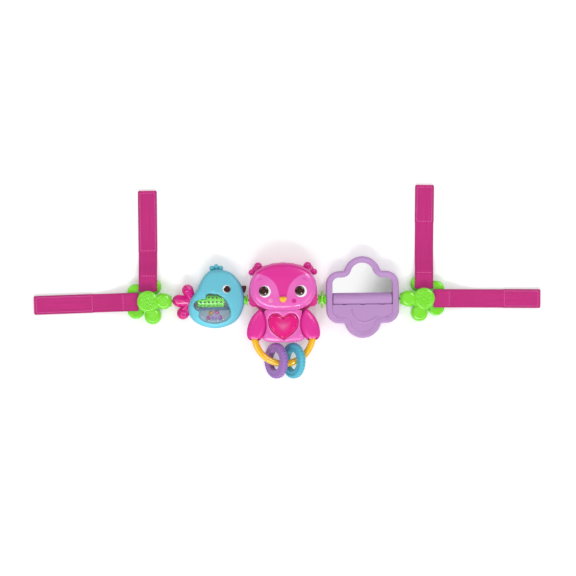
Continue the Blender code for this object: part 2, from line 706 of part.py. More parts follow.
def make_drum():
    """A perforated sounding drum that turns on the cord."""
    half = DRUM_LENGTH / 2
    bore = CORD_RADIUS + CORD_CLEARANCE
    inner = DRUM_RADIUS - DRUM_WALL
    drum = turned(
        "rattle_drum",
        [
            (DRUM_RADIUS, half),
            (DRUM_RADIUS, -half),
            (bore, -half),
            (bore, DRUM_WALL - half),
            (inner, DRUM_WALL - half),
            (inner, half - DRUM_WALL),
            (bore, half - DRUM_WALL),
            (bore, half),
        ],
        (BIRD_X - DRUM_SHIFT, 0.0, AXIS_HEIGHT),
        "X",
        18,
    )
    pitch = (DRUM_LENGTH - 2 * DRUM_WALL) / DRUM_HOLES_LONG
    for row in range(DRUM_HOLES_LONG):
        x = BIRD_X - DRUM_SHIFT + (row - (DRUM_HOLES_LONG - 1) / 2) * pitch
        for turn in range(DRUM_HOLES_ROUND // 2):
            place = (x, 0.0, AXIS_HEIGHT)
            drill = cylinder(f"drum_drill_{row}_{turn}", DRUM_HOLE_RADIUS, DRUM_RADIUS * 3, place, "Z", 5)
            drill.rotation_euler = (math.radians(90.0 + turn * 360.0 / DRUM_HOLES_ROUND), 0.0, 0.0)
            cut(drum, as_tool(drill))
    paint(drum, LEAF_GREEN, 0.4)


def make_spacers():
    """The domed spacer beside the bird and the flanged bush with its loose clacker disc beside the cloud."""
    bore = CORD_RADIUS + CORD_CLEARANCE
    right = -OWL_LUG_REACH - SPACER_GAP
    dome_start = BIRD_X + BIRD_WIDTH / 2 - WALL
    length = right - dome_start
    neck_end = length - SPACER_FLANGE
    neck_start = length * SPACER_NECK_SHARE
    dome = SPACER_DOME_RADIUS
    spacer = turned(
        "left_spacer",
        [
            (SPACER_FLANGE_RADIUS, length),
            (SPACER_FLANGE_RADIUS, neck_end),
            (SPACER_NECK_RADIUS, neck_end),
            (SPACER_NECK_RADIUS, neck_start),
            (dome * DOME_EDGE_SHARE, neck_start),
            (dome, neck_start * DOME_FULL_SHARE),
            (dome, neck_start * DOME_START_SHARE),
            (dome * 0.8, 0.0),
            (bore, 0.0),
            (bore, length),
        ],
        (dome_start, 0.0, AXIS_HEIGHT),
        "X",
        24,
    )
    paint(spacer, LEAF_GREEN, 0.3)

    start = OWL_LUG_REACH + SPACER_GAP
    end = CLOUD_X - CLOUD_WIDTH / 2 - SEAM
    length = end - start
    bush = turned(
        "right_spacer",
        [
            (BUSH_FLANGE_RADIUS, length),
            (BUSH_FLANGE_RADIUS, length - BUSH_FLANGE),
            (BUSH_HUB_RADIUS, length - BUSH_FLANGE),
            (BUSH_HUB_RADIUS, BUSH_FLANGE),
            (BUSH_FLANGE_RADIUS, BUSH_FLANGE),
            (BUSH_FLANGE_RADIUS, 0.0),
            (bore, 0.0),
            (bore, length),
        ],
        (start, 0.0, AXIS_HEIGHT),
        "X",
        24,
    )
    paint(bush, LEAF_GREEN, 0.3)
    half = CLACKER_THICKNESS / 2
    chamfer = half / 3
    clacker = turned(
        "clacker_disc",
        [
            (CLACKER_RADIUS - chamfer, half),
            (CLACKER_RADIUS, half - chamfer),
            (CLACKER_RADIUS, chamfer - half),
            (CLACKER_RADIUS - chamfer, -half),
            (BUSH_HUB_RADIUS + SEAM, -half),
            (BUSH_HUB_RADIUS + SEAM, half),
        ],
        (start + length / 2, 0.0, AXIS_HEIGHT),
        "X",
        28,
    )
    paint(clacker, LEAF_GREEN, 0.3)


def owl_outline(half_shares, steps=2):
    return smooth(both_halves(placed(half_shares, OWL_WIDTH, OWL_HEIGHT)), steps)


def make_owl_shells():
    """Returns the rear, forehead, face and body shells, so that other pieces can shape them."""
    outline = owl_outline(OWL_REAR_SHARES, 1)
    rear_top = OWL_REAR_DEPTH + 2 * OWL_REAR_ROUNDING
    rear = outline_solid("owl_rear_shell", outline, 0.0, rear_top, OWL_REAR_ROUNDING)
    cut(rear, above("owl_rear_half", OWL_REAR_DEPTH))
    for index, (x_share, y_share, radius_share) in enumerate(EAR_SHARES):
        for side in (-1, 1):
            place = (side * x_share * OWL_WIDTH, y_share * OWL_HEIGHT, EAR_HEIGHT)
            join(rear, as_tool(ball(f"owl_ear_{index}_{side}", radius_share * OWL_WIDTH, place, 11, 7)))
    head_outline = owl_outline(OWL_HEAD_SHARES)
    hollow_high = OWL_REAR_DEPTH + OVERRUN
    head_room = outline_solid("owl_rear_head_room", inset(head_outline, OWL_WALL * 2), WALL, hollow_high, 0.0)
    body_room = outline_solid("owl_rear_body_room", inset(outline, OWL_WALL), WALL, hollow_high, 0.0)
    neck_y = OWL_BODY_SHARES[0][1] * OWL_HEIGHT - OWL_WALL
    cut(body_room, as_tool(box("owl_neck_bulkhead", (-FAR, neck_y, -FAR), (FAR, FAR, FAR))))
    cut(rear, as_tool(head_room), as_tool(body_room))
    for side in (-1, 1):
        knot_x = side * (OWL_LUG_REACH - OWL_WALL - SEAM - KNOT_RADIUS)
        cut(rear, as_tool(ball(f"owl_knot_room_{side}", KNOT_ROOM, (knot_x, 0.0, AXIS_HEIGHT), 10, 6)))
        bore = CORD_RADIUS + 2 * CORD_CLEARANCE
        cut(rear, cord_bore(f"owl_lug_bore_{side}", knot_x, knot_x + side * OVERRUN, bore))

    front_low = OWL_REAR_DEPTH + SEAM
    hull_low = front_low - OWL_HEAD_ROUNDING
    head_seam = below("owl_front_half", front_low)
    head_hollow = outline_solid(
        "owl_head_hollow",
        inset(head_outline, OWL_WALL),
        hull_low,
        OWL_HEAD_DEPTH - OWL_WALL,
        OWL_HEAD_ROUNDING * HOLLOW_ROUNDING_SHARE,
    )
    as_tool(head_hollow)
    peak_half = placed(OWL_PEAK_SHARES, OWL_WIDTH, OWL_HEIGHT)
    peak = smooth(both_halves(peak_half), 2)
    face = outline_solid("owl_face_shell", head_outline, hull_low, OWL_HEAD_DEPTH, OWL_HEAD_ROUNDING, 2)
    forehead = outline_solid(
        "owl_forehead_shell", head_outline, hull_low, OWL_HEAD_DEPTH, OWL_HEAD_ROUNDING, 2
    )
    cut(face, head_seam, head_hollow, as_tool(outline_solid("peak_region", peak, -FAR, FAR, 0.0)))
    cut(forehead, head_seam, head_hollow)
    combine(forehead, as_tool(outline_solid("peak_piece", inset(peak, SEAM), -FAR, FAR, 0.0)), "INTERSECT")

    body_outline = owl_outline(OWL_BODY_SHARES)
    body_low = front_low - OWL_BODY_ROUNDING
    body = outline_solid("owl_body_shell", body_outline, body_low, OWL_BODY_DEPTH, OWL_BODY_ROUNDING)
    body_hollow = outline_solid(
        "owl_body_hollow", inset(body_outline, OWL_WALL), body_low, OWL_BODY_DEPTH - OWL_WALL, 0.0
    )
    cut(body, head_seam, as_tool(body_hollow))
    paint(rear, HOT_PINK, 0.35)
    paint(face, PINK, 0.35)
    paint(forehead, MAGENTA, 0.35)
    paint(body, PINK, 0.35)
    return rear, forehead, face, body


def make_owl_face(face, forehead):
    """The eyes and the beak, each in a hole of its own."""
    x_share, y_share = OWL_EYE_SHARE
    eye_low, eye_high = OWL_HEAD_DEPTH - OWL_WALL, OWL_HEAD_DEPTH + OWL_EYE_RISE
    for side, word in ((-1, "left"), (1, "right")):
        x, y = side * x_share * OWL_WIDTH, y_share * OWL_HEIGHT
        eye = turned(
            f"owl_{word}_eye",
            [
                (0.0, eye_high),
                (OWL_EYE_RADIUS * EYE_CROWN_SHARE, eye_high),
                (OWL_EYE_RADIUS, eye_high - OWL_EYE_RISE),
                (OWL_EYE_RADIUS, eye_low),
                (0.0, eye_low),
            ],
            (x, y, 0.0),
            "Z",
            18,
            closed=False,
        )
        paint(eye, WHITE, 0.2)
        hole = post(f"owl_eye_hole_{word}", OWL_EYE_RADIUS + SEAM, AXIS_HEIGHT, FAR, x, y, 18)
        cut(face, as_tool(hole))
    outline = placed(OWL_BEAK_SHARES, OWL_WIDTH, OWL_HEIGHT)
    beak_low, beak_high = OWL_HEAD_DEPTH - OWL_WALL, OWL_HEAD_DEPTH + OWL_BEAK_RISE
    beak = outline_solid("owl_beak", smooth(outline, 2), beak_low, beak_high, OWL_EYE_RISE)
    paint(beak, YELLOW, 0.3)
    hole = outline_solid("owl_beak_hole", inset(smooth(outline, 2), -SEAM), AXIS_HEIGHT, FAR, 0.0)
    cut(face, as_tool(hole))
    cut(forehead, hole)


def make_heart(body):
    """The press button, with a flange that keeps it under the body shell and a stem over the switch."""
    high = OWL_BODY_DEPTH + HEART_RISE
    half = placed(HEART_OUTLINE_SHARES, HEART_WIDTH, HEART_HEIGHT, 0.0, HEART_MIDDLE_Y)
    outline = smooth(both_halves(half))
    button = outline_solid("heart_button", outline, high - HEART_DEPTH, high, HEART_ROUNDING, 0)
    flange_high = OWL_BODY_DEPTH - OWL_WALL - SEAM
    flange_low = high - HEART_DEPTH
    flange = outline_solid("heart_flange", inset(outline, -HEART_FLANGE), flange_low, flange_high, 0.0)
    room_outline = inset(owl_outline(OWL_BODY_SHARES), OWL_WALL + SEAM)
    room = outline_solid("heart_flange_room", room_outline, -FAR, FAR, 0.0)
    combine(flange, as_tool(room), "INTERSECT")
    stem_low = BOARD_LOW + BOARD_THICKNESS + SWITCH_HEIGHT + PLUNGER_RISE + HEART_TRAVEL + SEAM
    stem = post("heart_stem", PLUNGER_RADIUS * 1.5, stem_low, flange_high, 0.0, HEART_MIDDLE_Y)
    join(button, as_tool(flange), as_tool(stem))
    paint(button, HOT_PINK, 0.12, 0.0, 0.85)
    cut(body, as_tool(outline_solid("heart_hole", inset(outline, -HEART_GAP), AXIS_HEIGHT, FAR, 0.0)))


def make_electronics(rear):
    """The board with its switch and lamp, the speaker, the cells, the door and the power switch."""
    half_width, half_height = BOARD_WIDTH / 2, BOARD_HEIGHT / 2
    top = BOARD_LOW + BOARD_THICKNESS
    board = box(
        "circuit_board",
        (-half_width, HEART_MIDDLE_Y - half_height, BOARD_LOW),
        (half_width, HEART_MIDDLE_Y + half_height, top),
    )
    sunk = BOARD_THICKNESS / 2
    half = SWITCH_SIDE / 2
    switch_top = top + SWITCH_HEIGHT
    switch = box(
        "board_switch", (-half, HEART_MIDDLE_Y - half, top - sunk), (half, HEART_MIDDLE_Y + half, switch_top)
    )
    plunger = post(
        "switch_plunger", PLUNGER_RADIUS, switch_top - sunk, switch_top + PLUNGER_RISE, 0.0, HEART_MIDDLE_Y
    )
    lamp = post(
        "board_lamp",
        LAMP_RADIUS,
        top - sunk,
        top + LAMP_RISE,
        half_width * LAMP_PLACE_SHARE[0],
        HEART_MIDDLE_Y + half_height * LAMP_PLACE_SHARE[1],
        12,
    )
    join(board, as_tool(switch), as_tool(plunger), as_tool(lamp))
    paint(board, BOARD_GREEN, 0.5)
    for side in (-1, 1):
        x = side * (half_width - BOARD_POST_RADIUS)
        y = HEART_MIDDLE_Y + half_height - BOARD_POST_RADIUS
        support = post(f"board_post_{side}", BOARD_POST_RADIUS, WALL / 2, BOARD_LOW - SEAM, x, y, 10)
        join(rear, as_tool(support))

    speaker_low = WALL + SEAM
    rim = SPEAKER_RADIUS * SPEAKER_RIM_SHARE
    speaker = turned(
        "speaker",
        [
            (0.0, speaker_low + SPEAKER_DEPTH),
            (rim * SPEAKER_MAGNET_SHARE, speaker_low + SPEAKER_DEPTH),
            (rim * SPEAKER_MAGNET_SHARE, speaker_low + SPEAKER_DEPTH / 2),
            (SPEAKER_RADIUS, speaker_low + SPEAKER_DEPTH / 3),
            (SPEAKER_RADIUS, speaker_low),
            (0.0, speaker_low),
        ],
        (0.0, HEART_MIDDLE_Y, 0.0),
        "Z",
        18,
        closed=False,
    )
    paint(speaker, BLACK, 0.5)
    sound_hole_radius = SPEAKER_RADIUS / 8
    for index in range(SOUND_HOLES):
        angle = 2 * math.pi * index / SOUND_HOLES
        reach = SPEAKER_RADIUS * SPEAKER_SLOT_SHARE
        x, y = reach * math.cos(angle), HEART_MIDDLE_Y + reach * math.sin(angle)
        cut(rear, as_tool(post(f"sound_hole_{index}", sound_hole_radius, -OVERRUN, WALL + SEAM / 2, x, y, 6)))

    half_width, half_height = DOOR_WIDTH / 2, DOOR_HEIGHT / 2
    low = (-half_width, DOOR_Y - half_height)
    high = (half_width, DOOR_Y + half_height)
    door = box("battery_door", (*low, 0.0), (*high, DOOR_THICKNESS))
    hole = box(
        "battery_opening",
        (low[0] - SEAM, low[1] - SEAM, -OVERRUN),
        (high[0] + SEAM, high[1] + SEAM, DOOR_THICKNESS + SEAM),
    )
    cut(rear, as_tool(hole))
    screw_x = half_width - SCREW_PAD_RADIUS
    arm_low = DOOR_THICKNESS + SEAM
    arm = box(
        "door_screw_arm",
        (screw_x - BOSS_RADIUS, DOOR_Y - BOSS_RADIUS, arm_low),
        (half_width + BOSS_RADIUS, DOOR_Y + BOSS_RADIUS, arm_low + BOSS_RADIUS),
    )
    foot = box(
        "door_screw_foot",
        (half_width + 2 * SEAM, DOOR_Y - BOSS_RADIUS, WALL / 2),
        (half_width + BOSS_RADIUS, DOOR_Y + BOSS_RADIUS, arm_low + BOSS_RADIUS / 2),
    )
    join(rear, as_tool(arm), as_tool(foot))
    boss_top = arm_low + BOSS_RADIUS * DOOR_BOSS_SHARE
    screw_seat("battery_door_screw", door, rear, screw_x, DOOR_Y, None, boss_top)
    paint(door, HOT_PINK, 0.4)
    for index in range(2):
        x = -half_width + CELL_RADIUS + WALL + index * (2 * CELL_RADIUS + SEAM)
        cell_low = DOOR_THICKNESS + SEAM
        cell_top = cell_low + CELL_THICKNESS
        cell = post(f"button_cell_{index + 1}", CELL_RADIUS, cell_low, cell_top, x, DOOR_Y, 20)
        paint(cell, STEEL, 0.25, 1.0)

    slot_length, slot_width = POWER_SLOT
    x, y = POWER_PLACE_SHARE[0] * OWL_WIDTH, POWER_PLACE_SHARE[1] * OWL_HEIGHT
    slot = box(
        "power_slot",
        (x - slot_length / 2, y - slot_width / 2, -OVERRUN),
        (x + slot_length / 2, y + slot_width / 2, AXIS_HEIGHT),
    )
    cut(rear, as_tool(slot))
    knob_low = WALL / 4
    knob = box(
        "power_switch",
        (x - slot_length / 2 + SEAM, y - slot_width / 2 + SEAM, knob_low),
        (x + slot_length / 2 - SEAM - POWER_TRAVEL, y + slot_width / 2 - SEAM, WALL * KNOB_RISE_SHARE),
    )
    plate = box(
        "power_plate",
        (x - slot_length * KNOB_REACH_SHARES[0], y - slot_width, WALL + SEAM),
        (x + slot_length * KNOB_REACH_SHARES[1] - POWER_TRAVEL, y + slot_width, WALL * KNOB_PLATE_SHARE),
    )
    join(knob, as_tool(plate))
    paint(knob, BLACK, 0.5)


def ring_hinge_y():
    """Where the ring's ends turn, on the ring's own circle just inside the wings."""
    return RING_CENTRE_Y - RING_RADIUS * math.sin(math.radians(RING_END_ANGLE))


def make_wings_and_ring():
    wing_low = OWL_REAR_DEPTH + SEAM
    right_outline = smooth(placed(OWL_WING_SHARES, OWL_WIDTH, OWL_HEIGHT))
    left_outline = [(-x, y) for x, y in reversed(right_outline)]
    hinge_y = ring_hinge_y()
    hinge_x = RING_RADIUS * math.cos(math.radians(RING_END_ANGLE))
    socket = RING_TUBE_RADIUS + SOCKET_GAP
    mouth = socket + socket * SOCKET_MOUTH_SHARE * math.tan(math.radians(RING_SWING))
    for side, word, outline in ((-1, "left", left_outline), (1, "right", right_outline)):
        wing = outline_solid(f"owl_{word}_wing", outline, wing_low, OWL_WING_DEPTH, OWL_WING_ROUNDING)
        hinge = (side * hinge_x, hinge_y, RING_HEIGHT)
        hollow = cylinder(f"{word}_wing_socket", socket, 2 * socket, hinge, "X", 20)
        way_out = box(
            f"{word}_wing_mouth",
            (side * hinge_x - socket - MOUTH_SPREAD, hinge_y - OVERRUN * 2, RING_HEIGHT - mouth),
            (side * hinge_x + socket + MOUTH_SPREAD, hinge_y, RING_HEIGHT + mouth),
        )
        cut(wing, as_tool(hollow), as_tool(way_out))
        paint(wing, MAGENTA, 0.35)

    curve = bpy.data.curves.new("yellow_ring", "CURVE")
    curve.dimensions = "3D"
    curve.bevel_depth = RING_TUBE_RADIUS
    curve.bevel_resolution = 2
    curve.use_fill_caps = True
    spline = curve.splines.new("POLY")
    route = arc((0.0, RING_CENTRE_Y), RING_RADIUS, -180.0 + RING_END_ANGLE, -RING_END_ANGLE, 22)
    spline.points.add(len(route) - 1)
    for point, (x, y) in zip(spline.points, route):
        point.co = (x, y - hinge_y, 0.0, 1.0)
    guide = piece("yellow_ring_guide", curve)
    guide.location = (0.0, hinge_y, RING_HEIGHT)
    guide.rotation_euler = (math.radians(RING_LEAN), 0.0, 0.0)
    ring = as_mesh("yellow_ring", guide)
    for side in (-1, 1):
        hinge = (side * hinge_x, hinge_y, RING_HEIGHT)
        join(ring, as_tool(ball(f"ring_end_{side}", RING_TUBE_RADIUS, hinge, 11, 7)))
    paint(ring, YELLOW, 0.25)


def link_places():
    """The middle of each link, from the lowest point of the yellow ring."""
    lowest_y = RING_CENTRE_Y - RING_RADIUS
    return {name: (x, lowest_y + rise) for name, (x, rise) in LINK_OFFSETS.items()}


def make_links():
    """Two fat rings threaded on the yellow ring, tilted about the picture's upright axis."""
    half = LINK_THICKNESS / 2
    side = half - LINK_ROUNDING
    outer, inner = LINK_OUTER_RADIUS, LINK_INNER_RADIUS
    profile = [
        (outer - LINK_ROUNDING, half),
        (outer, side),
        (outer, -side),
        (outer - LINK_ROUNDING, -half),
        (inner + LINK_ROUNDING, -half),
        (inner, -side),
        (inner, side),
        (inner + LINK_ROUNDING, half),
    ]
    tilt = math.radians(LINK_TILT)
    rim = max(radius * math.sin(tilt) + height * math.cos(tilt) for radius, height in profile)
    for name, (x, y) in link_places().items():
        link = turned(name, profile, (x, y, rim), "Z", 24)
        link.rotation_euler = (0.0, -tilt, 0.0)
        paint(link, DEEP_PURPLE if name == "purple_link" else LINK_BLUE, 0.3)


def cloud_outline(gap, rise=CLOUD_RISE, lobe_steps=9, corner_steps=3, fillet_steps=2):
    """The cloud, moved in by a gap: a rounded block with a round lobe above and below, blended by fillets."""
    half_width = CLOUD_WIDTH / 2 - gap
    shoulder = CLOUD_SHOULDER - gap
    corner = CLOUD_CORNER_RADIUS - gap
    lobe = CLOUD_LOBE_RADIUS - gap
    fillet = CLOUD_FILLET + gap
    lobe_height = CLOUD_HEIGHT / 2 - CLOUD_LOBE_RADIUS
    fillet_y = shoulder + fillet
    fillet_x = math.sqrt((lobe + fillet) ** 2 - (fillet_y - lobe_height) ** 2)
    meeting = math.degrees(math.atan2(fillet_y - lobe_height, fillet_x))
    right_corner = arc((half_width - corner, shoulder - corner), corner, 0.0, 90.0, corner_steps)
    right_corner += arc((fillet_x, fillet_y), fillet, -90.0, meeting - 180.0, fillet_steps)
    upper = right_corner + arc((0.0, lobe_height), lobe, meeting, 180.0 - meeting, lobe_steps)[1:-1]
    upper = upper + [(-x, y) for x, y in reversed(right_corner)]
    whole = upper + [(-x, -y) for x, y in upper]
    return [(CLOUD_X + x, rise + y) for x, y in whole]


def make_cloud():
    outline = cloud_outline(0.0)
    back = outline_solid("cloud_back_shell", outline, 0.0, CLOUD_DEPTH, CLOUD_ROUNDING)
    frame = outline_solid("cloud_frame", outline, 0.0, CLOUD_DEPTH, CLOUD_ROUNDING)
    hollow = outline_solid("cloud_hollow", cloud_outline(WALL), WALL, CLOUD_DEPTH + OVERRUN, 0.0)
    cut(back, above("cloud_back_half", CLOUD_SEAM_HEIGHT), as_tool(hollow))
    cut(frame, below("cloud_front_half", CLOUD_SEAM_HEIGHT + SEAM))
    inner = cloud_outline(CLOUD_BORDER)
    opening = outline_solid("cloud_opening", inner, -OVERRUN, CLOUD_DEPTH + OVERRUN, 0.0)
    under_plate = outline_solid("cloud_plate_hollow", inner, -OVERRUN, CLOUD_DEPTH - WALL, 0.0)
    roller_edge = -BARREL_RADIUS - ROLLER_GAP
    cut(opening, as_tool(box("plate_keeper", (-FAR, -FAR, -FAR), (FAR, roller_edge, FAR))))
    cut(under_plate, as_tool(box("plate_edge_keeper", (-FAR, roller_edge - WALL, -FAR), (FAR, FAR, FAR))))
    cut(frame, as_tool(opening), as_tool(under_plate))
    left, right = CLOUD_X - CLOUD_WIDTH / 2, CLOUD_X + CLOUD_WIDTH / 2
    cut(frame, cord_bore("cloud_bore", left - OVERRUN, right + OVERRUN))

    mirror_high = CLOUD_SEAM_HEIGHT - SEAM
    mirror = outline_solid(
        "mirror", cloud_outline(CLOUD_BORDER - MIRROR_LIP), mirror_high - MIRROR_THICKNESS, mirror_high, 0.0
    )
    cut(mirror, as_tool(box("mirror_lower_half", (-FAR, -FAR, -FAR), (FAR, MIRROR_REACH, FAR))))
    paint(mirror, WHITE, 0.03, 1.0)
    for index, (x_share, y_share) in enumerate(MIRROR_POST_SHARES):
        x, y = CLOUD_X + x_share * CLOUD_WIDTH, CLOUD_RISE + y_share * CLOUD_HEIGHT
        top = mirror_high - MIRROR_THICKNESS - SEAM
        join(back, as_tool(post(f"mirror_post_{index}", MIRROR_POST_RADIUS, WALL / 2, top, x, y, 10)))

    for word, side in (("upper", 1), ("lower", -1)):
        y = CLOUD_RISE + side * (CLOUD_HEIGHT / 2 - CLOUD_SCREW_INSET)
        name = f"cloud_screw_{word}"
        pad = post(name + "_pad", SCREW_PAD_RADIUS, WALL / 2, SCREW_PAD_TOP, CLOUD_X, y)
        join(back, as_tool(pad))
        screw_seat(name, back, frame, CLOUD_X, y)

    roller_half = CLOUD_WIDTH / 2 - CLOUD_BORDER - ROLLER_GAP
    bore = CORD_RADIUS + CORD_CLEARANCE
    roller = turned(
        "cloud_roller",
        [
            (BARREL_RADIUS, roller_half),
            (BARREL_RADIUS, -roller_half),
            (bore, -roller_half),
            (bore, roller_half),
        ],
        (CLOUD_X, 0.0, AXIS_HEIGHT),
        "X",
        36,
    )
    for obj in (back, frame, roller):
        paint(obj, PURPLE, 0.4)


def puff(name, radius, low, high, rounding, x, y, sides=12):
    """A round cushion shape between two heights."""
    corner = rounding * (1 - math.sqrt(0.5))
    profile = [
        (0.0, high),
        (radius - rounding, high),
        (radius - corner, high - corner),
        (radius, high - rounding),
        (radius, low + rounding / 2),
        (radius - rounding / 2, low),
        (0.0, low),
    ]
    return turned(name, profile, (x, y, 0.0), "Z", sides, closed=False)


def petal_place(side, clip_x, index):
    """The middle of a petal, counted round from the one that faces the toys."""
    heading = math.radians(360.0 * index / CLIP_PETALS)
    return clip_x - side * CLIP_PETAL_REACH * math.cos(heading), CLIP_PETAL_REACH * math.sin(heading)


def strap_matrix(name, side, clip_x):
    """Turns (distance from the disc, height, across) into the toy's frame for one strap."""
    tilt = Matrix.Rotation(math.radians(STRAP_TILTS[name]), 4, "Z")
    if name.endswith("upper"):
        columns = ((0, 1, 0), (0, 0, 1), (1, 0, 0))
    else:
        columns = ((side, 0, 0), (0, 0, 1), (0, -side, 0))
    turn = Matrix(columns).transposed().to_4x4()
    return Matrix.Translation((clip_x, 0.0, 0.0)) @ tilt @ turn


def strap_route(length, patched):
    """The strap's middle line from the bar down to the surface, as (distance, height) points."""
    half = STRAP_THICKNESS / 2
    over_petals = CLIP_REAR_DEPTH + SEAM + half
    floor = half + (PATCH_THICKNESS + SEAM if patched else 0.0)
    petal_edge = CLIP_PETAL_REACH + CLIP_PETAL_RADIUS
    mouth = CLIP_DISC_RADIUS + SEAM
    down = petal_edge * STRAP_DOWN_SHARE
    bend = petal_edge * STRAP_BEND_SHARE
    return [
        (mouth, BAR_HEIGHT - half / 2),
        (mouth + bend, over_petals + half / 2),
        (petal_edge * STRAP_LEVEL_SHARE, over_petals),
        (petal_edge, over_petals - half / 4),
        (petal_edge + bend, over_petals - half),
        ((petal_edge + down) / 2, (over_petals + floor) / 2 - half),
        (down - bend, floor + half * STRAP_LEVEL_SHARE),
        (down, floor + half / 5),
        (down + bend, floor),
        (length, floor),
    ]


def thickened(route, half):
    """The outline of a strip of an even thickness along a route."""
    upper, lower = [], []
    for index, (x, y) in enumerate(route):
        before = Vector(route[max(index - 1, 0)])
        after = Vector(route[min(index + 1, len(route) - 1)])
        direction = (after - before).normalized()
        normal = Vector((-direction.y, direction.x)) * half
        upper.append((x + normal.x, y + normal.y))
        lower.append((x - normal.x, y - normal.y))
    return lower + upper[::-1]


def make_strap(name, side, clip_x):
    """Doubled webbing with a sewn loop round its bar, and a hook patch under the outer straps."""
    place = strap_matrix(name, side, clip_x)
    half = STRAP_THICKNESS / 2
    patched = name in STRAP_PATCHED
    route = strap_route(STRAP_LENGTHS[name], patched)
    loop_radius = CLIP_BAR_RADIUS + SEAM + LOOP_WALL
    tongue_route = [(CLIP_BAR_REACH + CLIP_BAR_RADIUS + SEAM + LOOP_WALL / 2, BAR_HEIGHT), route[0], route[1]]
    webbing = outline_solid(name + "_strap", thickened(route, half), -STRAP_WIDTH / 2, STRAP_WIDTH / 2, 0.0)
    tongue = outline_solid(
        name + "_tongue", thickened(tongue_route, half - SEAM / 2), -TONGUE_WIDTH / 2, TONGUE_WIDTH / 2, 0.0
    )
    loop = cylinder(name + "_loop", loop_radius, TONGUE_WIDTH, (0, 0, 0), "Z", 16)
    hole = cylinder(name + "_loop_hole", CLIP_BAR_RADIUS + SEAM, TONGUE_WIDTH + OVERRUN, (0, 0, 0), "Z", 16)
    at_bar = Matrix.Translation((CLIP_BAR_REACH, BAR_HEIGHT, 0.0))
    webbing.matrix_world = place
    tongue.matrix_world = place
    loop.matrix_world = place @ at_bar
    hole.matrix_world = place @ at_bar
    join(webbing, as_tool(tongue), as_tool(loop))
    cut(webbing, as_tool(hole))
    paint(webbing, MAGENTA, 0.8)
    if patched:
        end = STRAP_LENGTHS[name] - SEAM * 3
        start = end - PATCH_LENGTH
        outline = [(start, 0.0), (end, 0.0), (end, PATCH_THICKNESS), (start, PATCH_THICKNESS)]
        width = STRAP_WIDTH / 2 - SEAM * 3
        patch = outline_solid(name + "_hook_patch", outline, -width, width, 0.0)
        patch.matrix_world = place
        paint(patch, MAGENTA, 0.95)


def bar_and_posts(name, side, clip_x):
    """The bar that a strap's loop turns on, with a post at each end."""
    place = strap_matrix(name, side, clip_x)
    at_bar = Matrix.Translation((CLIP_BAR_REACH, BAR_HEIGHT, 0.0))
    bar = cylinder(name + "_bar", CLIP_BAR_RADIUS, BAR_HALF_LENGTH * 2 - BAR_POST, (0, 0, 0), "Z", 8)
    bar.matrix_world = place @ at_bar
    tools = [as_tool(bar)]
    for end in (-1, 1):
        inner = end * (BAR_HALF_LENGTH - BAR_POST)
        outer = end * BAR_HALF_LENGTH
        low = (CLIP_BAR_REACH - BAR_POST, CLIP_REAR_DEPTH - CLIP_REAR_ROUNDING, min(inner, outer))
        high = (CLIP_BAR_REACH + BAR_POST, BAR_HEIGHT + BAR_POST, max(inner, outer))
        upright = box(f"{name}_bar_post_{end}", low, high)
        upright.matrix_world = place @ upright.matrix_basis
        tools.append(as_tool(upright))
    return tools


